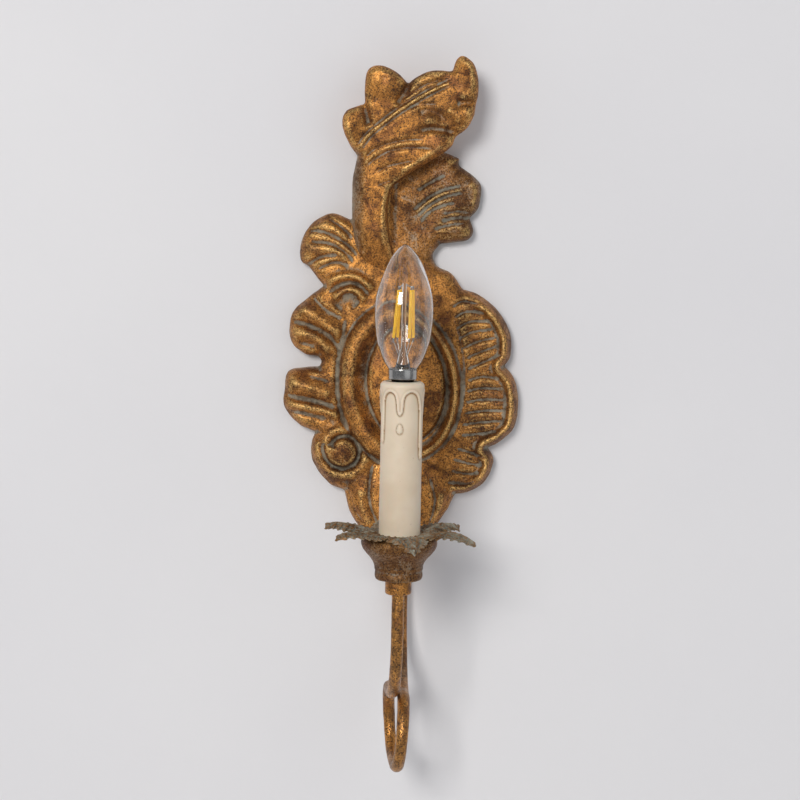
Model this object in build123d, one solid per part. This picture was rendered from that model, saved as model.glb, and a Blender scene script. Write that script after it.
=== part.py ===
"""Electric candle wall sconce: a carved and gilded backplate, a looped iron tube arm,
a turned cup with a leaf drip pan, a candle sleeve over a small screw lamp holder, and a
clear candle lamp. The sconce hooks on a steel strap that is screwed to the wall.

Frame: X to the viewer's right, Z up, Y into the wall. The wall is the plane Y = 0 and the
origin is the middle of the wall strap on that plane. Every "out" value below is a distance
out from the wall, so its Y is minus that value. Units are millimetres.
"""

import math
import os

from build123d import *

os.makedirs("parts", exist_ok=True)

# ---------------------------------------------------------------- driving dimensions
# Carved backplate
BOARD_OUT = 15.0  # thickness of the flat board at its edges
BOARD_BEVEL = 2.0  # bevel round the front of the board
# How far each carved part stands proud of the board
SECOND_LEAF_RISE = 2.0
SHELL_RISE = 4.0  # the three fluted shells
LOBE_RISE = 3.0  # the lobes on the left, and the foot
SCROLL_RISE = 4.0
SCROLL_EYE_RISE = 9.0
STEM_RISE = 16.0
CREST_BACK_RISE = 2.0  # back of the overhanging part of the crest leaf
CREST_RISE = 22.0
MEDALLION_RIM_RISE = 10.0
MEDALLION_FLOOR_RISE = 3.0
MEDALLION_BOSS_RISE = 6.5
MEDALLION_CENTRE = (-1.5, -1.0)
MEDALLION_HALF = (38.0, 62.0)
RIM_WIDTH = 9.0  # of the raised ring round the medallion
BOSS_HALF = (24.0, 45.0)
FLUTE_WIDTH = 3.0
FLUTE_DEPTH = 2.5

# Recesses in the back of the board
RECESS_HALF_WIDTH = 17.0  # the wiring recess
RECESS_TOP = 15.0
RECESS_BOTTOM = -61.0
RECESS_DEPTH = 12.0
RECESS_CORNER = 4.0
POCKET_GAP = 1.0  # air round each plate in its pocket
SCREW_HOLE_GAP = 0.05

# Arm
TUBE_R = 3.8
TUBE_BORE_R = 2.7
TUBE_TOP_GAP = 0.5  # between the top of the tube and the nipple above it in the ferrule
ARM_SIDE = 2.5  # the strand on the wall side starts this far to the right
ARM_WALL_OUT = 9.5  # tube centre where it runs down the back of the board
ARM_START = -50.0  # end of the tube in the recess
CANDLE_OUT = 110.0  # candle axis
FRONT_RUN_Z = -192.0  # where the strand from the candle runs towards the wall
WALL_RUN_Z = -195.0  # where the strand from the wall runs forwards
LOOP_BOTTOM_Z = -239.0
LOOP_FRONT_OUT = 90.0
LOOP_BACK_OUT = 35.0
LOOP_STRAND_GAP = 3.4  # between the two strands of the loop, which pass side by side
CHANNEL_GAP = 0.5  # air round the tube in its channel

# Candle stack, from the ferrule up
FERRULE_BOTTOM = -121.0
FERRULE_HEIGHT = 9.0
FERRULE_R = 8.0
FERRULE_SOCKET = 4.5  # depth of the socket for the tube
FIT_GAP = 0.05  # radial, in the fixed fits of the stack
CUP_HEIGHT = 26.0
CUP_R = 23.0
CUP_WAIST_R = 14.5
CUP_FOOT_R = 14.0
CUP_WALL = 2.5
NIPPLE_R = 5.0
NIPPLE_BORE_R = 3.6
NIPPLE_HOLE_GAP = 0.2
NIPPLE_SHORT = 2.0  # its top below the top of the holder's base
PAN_THICKNESS = 0.8
PAN_DISC_R = 20.0
PETAL_COUNT = 6
PETAL_TURN = 10.0  # degrees: the front petal points this far to the right
PETAL_REACH = 48.0
PETAL_HALF_WIDTH = 13.0
PETAL_ARCH = 3.4  # how far a petal rises between the disc and its tip
# of each petal in turn, from the front one round by the right
PETAL_TIP_RISE = [-2.0, -0.5, 1.5, 2.0, 3.5, 4.0]
WASHER_R = 9.0
WASHER_THICKNESS = 1.2
NUT_ACROSS_FLATS = 14.0
NUT_HEIGHT = 4.0
SLEEVE_R = 13.2
SLEEVE_WALL = 1.3
SLEEVE_HEIGHT = 92.4
SLEEVE_LIP_R = 9.6
SLEEVE_GAP = 0.3  # air under the sleeve
HOLDER_R = 10.8
HOLDER_HEIGHT = 37.6
HOLDER_DROP = 2.4  # top of the holder below the top of the sleeve
HOLDER_BASE = 8.0  # threaded base that takes the nipple
HOLDER_CHAMBER = 8.0  # wiring space above the base
HOLDER_CHAMBER_R = 7.6
HOLDER_FLOOR = 2.0
SOCKET_SHELL_R = 7.6
SOCKET_SHELL_WALL = 0.5
SOCKET_SHELL_DROP = 0.8  # top of the shell below the top of the holder
CONTACT_STRIP = 0.6  # thickness of the contact strips
CONTACT_STRIP_WIDTH = 4.0
CONTACT_TAIL = 3.5  # length of their tails in the wiring space
CONTACT_TAIL_X = 3.7
SHELL_TAIL_X = 6.2
CONTACT_AIR = 0.1  # between the centre contact and the lamp
LOCKNUT_GAP = 0.2  # between the locknut and the holder

# Lamp
CAP_R = 6.8
CAP_WALL = 0.3
CAP_SKIRT_R = 8.4
CAP_SKIRT_HEIGHT = 7.0
CAP_SKIRT_RISE = 0.9  # bottom of the skirt above the top of the sleeve
CAP_THREAD_HEIGHT = 15.4
INSULATOR_HEIGHT = 2.6
INSULATOR_TIP_R = 3.6
CONTACT_R = 2.4
CONTACT_HEIGHT = 1.4
GLASS_R = 17.5
GLASS_WALL = 0.7
GLASS_HEIGHT = 73.4  # above the cap skirt
GLASS_TIP_R = 0.5  # of the flat spot at the very tip
GLASS_NECK_R = 7.9
GLASS_NECK_DEPTH = 5.0  # of the neck inside the cap skirt
STEM_GLASS_R = 1.3
STEM_FLARE_R = 5.5
STEM_TOP = 50.0  # all three above the top of the cap skirt
FILAMENT_BOTTOM = 16.5
FILAMENT_TOP = 47.5
FILAMENT_R = 0.9
# Lower end and upper end of each light strip, as (to the right, forward) of the lamp's axis
FILAMENTS = [
    ((-6.0, 2.0), (-3.2, 1.6)),
    ((-3.6, -3.6), (-2.4, -3.0)),
    ((3.4, 4.0), (4.0, 2.6)),
    ((5.8, -2.6), (5.2, -1.8)),
]
SUPPORT_R = 0.25

# Wall fixing
STRAP_LENGTH = 68.0
STRAP_HEIGHT = 16.0
STRAP_THICKNESS = 2.0
STRAP_SLOT_SPACING = 24.0
STRAP_SLOT_R = 2.25
STRAP_SLOT_LENGTH = 12.0
HOOK_SPACING = 52.0
HOOK_SHANK_R = 2.0
HOOK_HEAD_R = 4.0
HOOK_HEAD_HEIGHT = 2.2
HOOK_HEAD_GAP = 0.4  # air between the keyhole plates and the hook heads
HANGER_BACK = 3.0  # between the wall and the keyhole plates, where the strap lies
HANGER_THICKNESS = 2.0
HANGER_WIDTH = 16.0
HANGER_HEIGHT = 40.0
HANGER_Z = -5.0
KEYHOLE_R = 4.6
KEYHOLE_SLOT_R = 2.3
KEYHOLE_TRAVEL = 9.0
HANGER_SCREW_SPACING = 33.0
HEAD_POCKET_GAP = 1.5  # air round the hook heads over their whole travel
WOOD_SCREW_R = 1.6
WOOD_SCREW_HEAD_R = 3.2
WOOD_SCREW_HEAD_HEIGHT = 1.6
WOOD_SCREW_LENGTH = 9.0
ARM_STRAP_Z = -54.0
ARM_STRAP_LENGTH = 52.0
ARM_STRAP_HEIGHT = 10.0
ARM_STRAP_THICKNESS = 2.0
ARM_STRAP_SCREW_SPACING = 43.0

# Wiring
LEAD_R = 0.8
LEAD_SIDE = 1.05  # each lead runs this far beside the tube's centre
LEAD_EASE_R = 5.0  # smallest bend of a lead
LEAD_DROP = 3.5  # straight run of a lead under the block
BLOCK_DEPTH = 8.0
BLOCK_HEIGHT = 14.0
BLOCK_Z = -30.0
BLOCK_PITCH = 8.0
BLOCK_END = 1.5  # plastic beyond the outer poles
BLOCK_POLES = 3
CLAMP_R = 2.0
CLAMP_BORE_R = 1.3
CLAMP_LENGTH = 12.0
CLAMP_SCREW_R = 1.3
CLAMP_SCREW_OFFSET = 3.4  # of each clamp screw from the middle of its clamp
CLAMP_SCREW_SUNK = 0.6  # heads below the face of the block
BLOCK_SCREW_R = 1.0
BLOCK_SCREW_HEAD_R = 1.7
BLOCK_SCREW_HEAD_HEIGHT = 0.8
BLOCK_SCREW_BITE = 4.0  # length in the wood
EARTH_X = 12.5
EARTH_SCREW_R = 1.5
EARTH_HEAD_R = 2.8
EARTH_HEAD_HEIGHT = 1.6
LUG_R = 3.0
LUG_THICKNESS = 0.6
LUG_BARREL_R = 1.4
LUG_BARREL_LENGTH = 4.0

# ---------------------------------------------------------------- outlines of the carving
# Each run of points is one lobe between two cusps and starts where the last one ended.
BOARD_START = (-34.5, 102.0)
BOARD_LOBES = [
    [(-34.8, 112.0), (-34.5, 130.0), (-31.0, 142.0)],  # left side of the stem
    [(-22.0, 152.0), (-6.0, 156.0), (14.0, 150.0), (26.0, 146.0), (33.7, 143.0)],  # top, behind the crest
    [(34.0, 138.5), (43.0, 132.0), (48.2, 125.0), (46.6, 112.0), (41.0, 105.0)],  # second leaf, outer lobe
    [(43.8, 96.5), (40.0, 91.0), (31.8, 89.3), (22.5, 88.2)],  # second leaf, lower lobe
    [(17.9, 81.0), (21.3, 73.4), (30.4, 69.0), (37.7, 59.0)],  # the open notch under it
    [(48.8, 55.4), (61.3, 45.3), (69.4, 30.6), (69.8, 17.0), (66.1, 9.9)],  # upper shell
    [(72.7, 1.6), (75.7, -12.6), (73.6, -29.6), (64.1, -39.6), (56.4, -43.7)],  # middle shell
    [(60.6, -52.0), (55.7, -65.3), (45.0, -73.0), (35.8, -74.5)],  # lower shell
    [(30.9, -85.2), (22.7, -98.0), (14.5, -112.5), (7.0, -122.3)],  # right side of the foot
    [(-0.9, -125.8), (-8.2, -122.5)],  # tip of the foot
    [(-17.6, -110.7), (-25.6, -98.9), (-33.0, -86.6), (-36.5, -73.4)],  # left side of the foot
    [(-47.0, -68.8), (-56.9, -55.9), (-58.7, -44.2), (-55.9, -35.6)],  # scroll
    [(-67.0, -30.6), (-76.4, -19.7), (-76.5, -8.0), (-74.5, 3.2), (-65.0, 5.8), (-54.1, 6.7)],  # lower lobe
    [(-52.8, 10.6), (-54.8, 13.8)],  # notch between the lobes
    [(-64.5, 15.6), (-73.2, 24.5), (-72.4, 41.0), (-63.2, 50.8), (-51.7, 59.7)],  # middle lobe
    [(-57.0, 65.4), (-62.1, 72.3)],  # neck above it
    [(-67.3, 76.0), (-67.0, 88.0), (-60.5, 99.5), (-48.0, 106.3), (-34.5, 102.0)],  # upper lobe
]
CREST_START = (-32.3, 140.0)
CREST_LOBES = [
    [(-37.5, 150.6), (-41.5, 163.0), (-38.5, 171.0), (-27.3, 175.5)],
    [(-27.5, 187.0), (-25.5, 196.5), (-18.3, 199.3), (-8.1, 195.5), (-0.4, 188.4)],
    [(6.0, 193.1), (15.0, 196.6), (27.5, 196.5)],
    [(30.0, 204.0), (34.5, 206.0), (41.5, 199.8), (44.1, 186.0), (42.4, 175.0)],
    [(41.3, 168.5), (37.0, 161.0), (30.4, 156.1)],
    [(27.5, 149.5), (18.0, 142.5), (5.0, 134.5), (-8.5, 125.4)],
    [(-16.0, 126.0), (-25.0, 131.0), (-32.3, 140.0)],
]
STEM_START = (-34.0, 96.0)
STEM_LOBES = [
    [(-34.3, 112.0), (-34.0, 130.0), (-31.5, 143.0)],
    [(-20.0, 140.0), (-9.0, 128.0)],
    [(-11.3, 115.0), (-10.5, 100.0), (-6.0, 82.0), (4.0, 64.0)],
    [(-10.0, 62.0), (-26.0, 66.0)],
    [(-30.0, 80.0), (-34.0, 96.0)],
]
# Centre, half width, half height and turn in degrees of each raised field
SHELLS = [
    ((50.0, 27.0), 17.5, 24.0, -12.0),
    ((54.5, -14.0), 18.5, 24.5, 0.0),
    ((41.5, -56.5), 15.5, 13.5, 15.0),
]
SHELL_FLUTES = [5, 5, 3]
LOBES = [
    ((-59.0, 33.0), 10.5, 13.0, 0.0),
    ((-63.0, -13.5), 11.0, 13.0, 0.0),
    ((-50.0, 86.0), 13.0, 14.0, 25.0),
]
SECOND_LEAF = ((20.0, 117.0), 18.0, 19.0, -20.0)
CREST_ROOT = ((-14.0, 158.0), 21.0, 14.0, 35.0)
FOOT = ((0.0, -94.0), 15.5, 25.0, 0.0)
SCROLL_CENTRE = (-38.5, -48.0)
SCROLL_R = 19.0
SCROLL_EYE_R = 7.5

# ---------------------------------------------------------------- places that follow from the sizes
MEDALLION_FLOOR_OUT = BOARD_OUT + MEDALLION_FLOOR_RISE
MEDALLION_RIM_OUT = BOARD_OUT + MEDALLION_RIM_RISE
SHELL_OUT = BOARD_OUT + SHELL_RISE
CREST_BACK = BOARD_OUT + CREST_BACK_RISE
LOOP_HALF_SPREAD = TUBE_R + LOOP_STRAND_GAP / 2
TUBE_TOP = FERRULE_BOTTOM + FERRULE_SOCKET
NIPPLE_BOTTOM = TUBE_TOP + TUBE_TOP_GAP
CUP_BOTTOM = FERRULE_BOTTOM + FERRULE_HEIGHT
PAN_BOTTOM = CUP_BOTTOM + CUP_HEIGHT
PAN_TOP = PAN_BOTTOM + PAN_THICKNESS
WASHER_TOP = PAN_TOP + WASHER_THICKNESS
SLEEVE_BOTTOM = PAN_TOP + SLEEVE_GAP
SLEEVE_TOP = SLEEVE_BOTTOM + SLEEVE_HEIGHT
HOLDER_TOP = SLEEVE_TOP - HOLDER_DROP
HOLDER_BOTTOM = HOLDER_TOP - HOLDER_HEIGHT
NIPPLE_TOP = HOLDER_BOTTOM + HOLDER_BASE - NIPPLE_SHORT
CHAMBER_TOP = HOLDER_BOTTOM + HOLDER_BASE + HOLDER_CHAMBER
SOCKET_FLOOR = CHAMBER_TOP + HOLDER_FLOOR
TAIL_BOTTOM = CHAMBER_TOP - CONTACT_TAIL
SKIRT_BOTTOM = SLEEVE_TOP + CAP_SKIRT_RISE
SKIRT_TOP = SKIRT_BOTTOM + CAP_SKIRT_HEIGHT
CAP_BOTTOM = SKIRT_BOTTOM - CAP_THREAD_HEIGHT
INSULATOR_BOTTOM = CAP_BOTTOM - INSULATOR_HEIGHT
LAMP_BOTTOM = INSULATOR_BOTTOM - CONTACT_HEIGHT
HANGER_OUT = HANGER_BACK + HANGER_THICKNESS
HEAD_OUT = HANGER_OUT + HOOK_HEAD_GAP + HOOK_HEAD_HEIGHT
TUBE_BACK_OUT = ARM_WALL_OUT - TUBE_R
ARM_STRAP_OUT = TUBE_BACK_OUT - ARM_STRAP_THICKNESS
BLOCK_OUT = RECESS_DEPTH - BLOCK_DEPTH / 2
BLOCK_BOTTOM = BLOCK_Z - BLOCK_HEIGHT / 2
POLE_X = [ARM_SIDE + (i - (BLOCK_POLES - 1) / 2) * BLOCK_PITCH for i in range(BLOCK_POLES)]
EARTH_Z = ARM_STRAP_Z
BOARD_LOWEST = min(z for lobe in BOARD_LOBES for x, z in lobe)


# ---------------------------------------------------------------- helpers
def point(x, out, z):
    """A point at a distance out from the wall."""
    return (x, -out, z)


def facing(out):
    """A sketch plane parallel to the wall, at a distance out from it."""
    return Plane.XZ.offset(out)


def slab(sketch, out_from, out_to):
    """A sketch in X and Z as a slab between two distances out from the wall."""
    return extrude(facing(out_from) * sketch, amount=out_to - out_from)


def closed_outline(start, lobes):
    """A face bounded by one smooth curve per lobe, with a cusp between neighbours."""
    edges = []
    at = start
    for lobe in lobes:
        edges.append(Spline(at, *lobe))
        at = lobe[-1]
    return make_face(Curve() + edges)


def tube_round(centre_out, z_from, z_to, radius, bore=0.0, x=0.0):
    """A vertical round bar or tube on an axis at a distance out from the wall."""
    ring = Circle(radius) - Circle(bore) if bore else Circle(radius)
    return extrude(Plane(point(x, centre_out, z_from)) * ring, amount=z_to - z_from)


def write(shape, name):
    shape.label = name
    export_step(shape, f"parts/{name}.step")


def group(shapes):
    """Several solids as one part."""
    return Compound(children=list(shapes))


# ---------------------------------------------------------------- arm and its leads
def arm_corners(side=0.0):
    """Corners of the arm's centreline, or of a line beside it: down the back of the board, forwards,
    once round the loop with its strands side by side, towards the candle and up."""
    spread = LOOP_HALF_SPREAD
    corners = [
        (ARM_SIDE, ARM_WALL_OUT, WALL_RUN_Z),
        (spread, LOOP_FRONT_OUT, WALL_RUN_Z),
        (spread * 0.5, LOOP_FRONT_OUT - 2, LOOP_BOTTOM_Z),
        (-spread * 0.5, LOOP_BACK_OUT + 1, LOOP_BOTTOM_Z),
        (-spread, LOOP_BACK_OUT, FRONT_RUN_Z),
        (0.0, CANDLE_OUT, FRONT_RUN_Z),
    ]
    return [point(x + side, out, z) for x, out, z in corners]


ARM_BENDS = [57.0, 21.5, 21.0, 21.0, 22.0, 46.0]


def swept(route, radius, bore=0.0):
    """A round bar or tube along a route."""
    start = Plane(origin=route @ 0, z_dir=route % 0)
    bar = sweep(start * Circle(radius), path=route)
    if bore:
        bar -= sweep(start * Circle(bore), path=route)
    return bar


def scroll_arm():
    """The bent tube, from the recess behind the board to the ferrule under the cup."""
    start = point(ARM_SIDE, ARM_WALL_OUT, ARM_START)
    end = point(0, CANDLE_OUT, TUBE_TOP)
    return swept(FilletPolyline(start, *arm_corners(), end, radius=ARM_BENDS), TUBE_R, TUBE_BORE_R)


def lamp_lead(pole, side, tail_x):
    """A lead from the terminal block through the arm and the nipple to a contact of the holder."""
    x = POLE_X[pole]
    start = point(x, BLOCK_OUT, BLOCK_BOTTOM + 2)
    below = point(x, BLOCK_OUT, BLOCK_BOTTOM - LEAD_DROP)
    enter = point(ARM_SIDE + side, ARM_WALL_OUT, ARM_START + LEAD_DROP)
    leave = point(side, CANDLE_OUT, NIPPLE_TOP)
    at_tail = point(tail_x, CANDLE_OUT, TAIL_BOTTOM - 1.8)
    end = point(tail_x, CANDLE_OUT, TAIL_BOTTOM)
    corners = [below, enter] + arm_corners(side) + [leave, at_tail]
    bends = [LEAD_EASE_R, LEAD_EASE_R] + ARM_BENDS + [LEAD_R * 2.2, LEAD_R * 2.2]
    return swept(FilletPolyline(start, *corners, end, radius=bends), LEAD_R)


def earth_lead():
    """From the third pole of the block to the lug on the arm strap."""
    x = POLE_X[2]
    barrel_top = EARTH_Z + LUG_R + LUG_BARREL_LENGTH
    lug_out = lug_centre_out()
    corners = [
        point(x, BLOCK_OUT, BLOCK_BOTTOM - 1.2),
        point(EARTH_X, lug_out, barrel_top + 1.2),
    ]
    start = point(x, BLOCK_OUT, BLOCK_BOTTOM + 2)
    end = point(EARTH_X, lug_out, barrel_top - 2)
    return swept(FilletPolyline(start, *corners, end, radius=[1.8, 1.8]), LEAD_R)


def arm_strap_screw_places():
    return [(side * ARM_STRAP_SCREW_SPACING / 2, ARM_STRAP_Z) for side in (-1, 1)]


def arm_strap():
    """Flat steel strap brazed across the back of the tube and screwed to the board."""
    face = Pos(0, ARM_STRAP_Z) * Rectangle(ARM_STRAP_LENGTH, ARM_STRAP_HEIGHT)
    bar = slab(face, ARM_STRAP_OUT, TUBE_BACK_OUT)
    for x, z in arm_strap_screw_places():
        bar -= countersink(x, z, ARM_STRAP_OUT)
    return bar - rod(EARTH_X, EARTH_Z, ARM_STRAP_OUT - 1, TUBE_BACK_OUT + 1, EARTH_SCREW_R + SCREW_HOLE_GAP)


# ---------------------------------------------------------------- screws
def rod(x, z, out_from, out_to, radius):
    """A round bar square to the wall."""
    return slab(Pos(x, z) * Circle(radius), out_from, out_to)


def wood_screw(x, z, out):
    """A countersunk screw whose head lies flush with a plate's back face, at that distance out."""
    seat = Plane(point(x, out, z), z_dir=(0, -1, 0))
    head = Solid.make_cone(WOOD_SCREW_HEAD_R, WOOD_SCREW_R, WOOD_SCREW_HEAD_HEIGHT, seat)
    return head + rod(x, z, out + WOOD_SCREW_HEAD_HEIGHT, out + WOOD_SCREW_LENGTH, WOOD_SCREW_R)


def countersink(x, z, out):
    """The hole for that screw, in the plate and in the wood beyond it."""
    wide = WOOD_SCREW_HEAD_R + SCREW_HOLE_GAP
    narrow = WOOD_SCREW_R + SCREW_HOLE_GAP
    seat = Plane(point(x, out, z), z_dir=(0, -1, 0))
    head = Solid.make_cone(wide, narrow, WOOD_SCREW_HEAD_HEIGHT, seat)
    mouth = rod(x, z, out - 1, out, wide)
    return head + mouth + rod(x, z, out, out + WOOD_SCREW_LENGTH + 1, narrow)


def hanger_screw_places():
    half = HANGER_SCREW_SPACING / 2
    return [(x * HOOK_SPACING / 2, HANGER_Z + z * half) for x in (-1, 1) for z in (-1, 1)]


def hanger_screws():
    return group(wood_screw(x, z, HANGER_BACK) for x, z in hanger_screw_places())


def arm_strap_screws():
    return group(wood_screw(x, z, ARM_STRAP_OUT) for x, z in arm_strap_screw_places())


# ---------------------------------------------------------------- wall fixing
def wall_strap():
    """The bar on the wall, with two slots for wall screws and two holes for the hooks."""
    bar = slab(Rectangle(STRAP_LENGTH, STRAP_HEIGHT), 0, STRAP_THICKNESS)
    for side in (-1, 1):
        slot = Pos(side * STRAP_SLOT_SPACING / 2, 0) * SlotOverall(STRAP_SLOT_LENGTH, 2 * STRAP_SLOT_R)
        bar -= slab(slot, -1, STRAP_THICKNESS + 1)
        bar -= rod(side * HOOK_SPACING / 2, 0, -1, STRAP_THICKNESS + 1, HOOK_SHANK_R + SCREW_HOLE_GAP)
    return bar


def strap_hooks():
    """Headed studs in the strap. The keyhole plates hang on them."""
    head_from = HEAD_OUT - HOOK_HEAD_HEIGHT
    collar_r = HOOK_SHANK_R + 1.5
    collar_to = HANGER_BACK - HOOK_HEAD_GAP
    hooks = []
    for side in (-1, 1):
        x = side * HOOK_SPACING / 2
        shank = rod(x, 0, 0, head_from, HOOK_SHANK_R)
        collar = rod(x, 0, STRAP_THICKNESS, collar_to, collar_r)
        hooks.append(shank + collar + rod(x, 0, head_from, HEAD_OUT, HOOK_HEAD_R))
    return group(hooks)


def keyhole_plate(side):
    """A steel plate on the back of the board with a keyhole for one hook."""
    x = side * HOOK_SPACING / 2
    face = Pos(x, HANGER_Z) * RectangleRounded(HANGER_WIDTH, HANGER_HEIGHT, 2)
    plate = slab(face, HANGER_BACK, HANGER_OUT)
    slot = Pos(x, -KEYHOLE_TRAVEL / 2) * Rectangle(2 * KEYHOLE_SLOT_R, KEYHOLE_TRAVEL)
    keyhole = slot + Pos(x, 0) * Circle(KEYHOLE_SLOT_R) + Pos(x, -KEYHOLE_TRAVEL) * Circle(KEYHOLE_R)
    plate -= slab(keyhole, HANGER_BACK - 1, HANGER_OUT + 1)
    for screw_x, screw_z in hanger_screw_places():
        if screw_x == x:
            plate -= countersink(screw_x, screw_z, HANGER_BACK)
    return plate


# ---------------------------------------------------------------- wiring
def terminal_block():
    """Plastic strip with three poles, screwed to the floor of the recess."""
    width = BLOCK_POLES * BLOCK_PITCH + 2 * BLOCK_END
    face = Pos(ARM_SIDE, BLOCK_Z) * RectangleRounded(width, BLOCK_HEIGHT, 1)
    block = slab(face, RECESS_DEPTH - BLOCK_DEPTH, RECESS_DEPTH)
    block_top = BLOCK_BOTTOM + BLOCK_HEIGHT
    for x in POLE_X:
        block -= tube_round(BLOCK_OUT, BLOCK_BOTTOM - 1, block_top + 1, CLAMP_R + FIT_GAP, x=x)
    for x, z in clamp_screw_places():
        block -= rod(x, z, RECESS_DEPTH - BLOCK_DEPTH - 1, BLOCK_OUT, CLAMP_SCREW_R + FIT_GAP)
    for x, z in block_screw_places():
        block -= rod(x, z, 0, RECESS_DEPTH + 1, BLOCK_SCREW_R + SCREW_HOLE_GAP)
        block -= rod(x, z, 0, block_screw_seat(), BLOCK_SCREW_HEAD_R + SCREW_HOLE_GAP)
    return block


def clamp_screw_places():
    return [(x, BLOCK_Z + side * CLAMP_SCREW_OFFSET) for x in POLE_X for side in (-1, 1)]


def block_screw_places():
    """Between the poles, off the clamps."""
    return [(POLE_X[1] + side * BLOCK_PITCH / 2, BLOCK_Z) for side in (-1, 1)]


def block_screw_seat():
    return RECESS_DEPTH - BLOCK_DEPTH + BLOCK_SCREW_HEAD_HEIGHT + CLAMP_SCREW_SUNK


def block_screws():
    """Two small wood screws through the block."""
    seat = block_screw_seat()
    screws = []
    for x, z in block_screw_places():
        head = rod(x, z, seat - BLOCK_SCREW_HEAD_HEIGHT, seat, BLOCK_SCREW_HEAD_R)
        screws.append(head + rod(x, z, seat, RECESS_DEPTH + BLOCK_SCREW_BITE, BLOCK_SCREW_R))
    return group(screws)


def terminal_clamps():
    """The brass tubes inside the block."""
    bottom = BLOCK_Z - CLAMP_LENGTH / 2
    clamps = []
    for x in POLE_X:
        clamp = tube_round(BLOCK_OUT, bottom, bottom + CLAMP_LENGTH, CLAMP_R, CLAMP_BORE_R, x)
        for screw_x, z in clamp_screw_places():
            if screw_x == x:
                clamp -= rod(x, z, RECESS_DEPTH - BLOCK_DEPTH, BLOCK_OUT, CLAMP_SCREW_R + FIT_GAP)
        clamps.append(clamp)
    return group(clamps)


def terminal_screws():
    """The screws that hold the wires in the clamps, each with its driver slot."""
    face = RECESS_DEPTH - BLOCK_DEPTH + CLAMP_SCREW_SUNK
    screws = []
    for x, z in clamp_screw_places():
        screw = rod(x, z, face, BLOCK_OUT - LEAD_R - FIT_GAP, CLAMP_SCREW_R)
        screws.append(screw - slab(Pos(x, z) * Rectangle(3 * CLAMP_SCREW_R, 0.5), face - 1, face + 0.6))
    return group(screws)


def lug_centre_out():
    return TUBE_BACK_OUT + LUG_BARREL_R


def earth_lug():
    """Ring terminal on the arm strap, with its barrel towards the block."""
    ring = rod(EARTH_X, EARTH_Z, TUBE_BACK_OUT, TUBE_BACK_OUT + LUG_THICKNESS, LUG_R)
    neck_face = Pos(EARTH_X, EARTH_Z + LUG_R) * Rectangle(2.2, 3)
    neck = slab(neck_face, TUBE_BACK_OUT, TUBE_BACK_OUT + LUG_THICKNESS)
    barrel_z = EARTH_Z + LUG_R
    barrel = tube_round(lug_centre_out(), barrel_z, barrel_z + LUG_BARREL_LENGTH, LUG_BARREL_R, x=EARTH_X)
    hole = rod(EARTH_X, EARTH_Z, 0, RECESS_DEPTH, EARTH_SCREW_R + SCREW_HOLE_GAP)
    bore_z = barrel_z + LUG_BARREL_LENGTH - 2
    bore = tube_round(lug_centre_out(), bore_z, bore_z + 3, LEAD_R, x=EARTH_X)
    return ring + neck + barrel - hole - bore


def earth_screw():
    """Through the lug into the arm strap."""
    seat = TUBE_BACK_OUT + LUG_THICKNESS
    head = rod(EARTH_X, EARTH_Z, seat, seat + EARTH_HEAD_HEIGHT, EARTH_HEAD_R)
    cross = slab(Pos(EARTH_X, EARTH_Z) * Rectangle(3.4, 0.6), seat + EARTH_HEAD_HEIGHT - 0.8, seat + 3)
    return head - cross + rod(EARTH_X, EARTH_Z, ARM_STRAP_OUT, seat, EARTH_SCREW_R)


# ---------------------------------------------------------------- backplate
def flutes(centre, half_width, half_height, turn, count):
    """Grooves that fan across a shell, as rounded slots."""
    spread = 1.5 * half_height / count
    slots = []
    for i in range(count):
        offset = (i - (count - 1) / 2) * spread
        length = half_width * 1.15 * math.sqrt(max(0.2, 1 - (offset / half_height) ** 2))
        slots.append(Pos(1.5, offset) * Rot(0, 0, -offset * 0.6) * SlotOverall(length, FLUTE_WIDTH))
    fan = Pos(*centre) * Rot(0, 0, turn) * Sketch(children=slots)
    return slab(fan, SHELL_OUT - FLUTE_DEPTH, SHELL_OUT + 1)


def oval(half_width, half_height):
    return Pos(*MEDALLION_CENTRE) * Ellipse(half_width, half_height)


def raised(sketch, rise):
    """A slab that stands proud of the board."""
    return slab(sketch, BOARD_OUT - 1, BOARD_OUT + rise)


def turned_oval(place):
    centre, half_width, half_height, turn = place
    return Pos(*centre) * Rot(0, 0, turn) * Ellipse(half_width, half_height)


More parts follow.
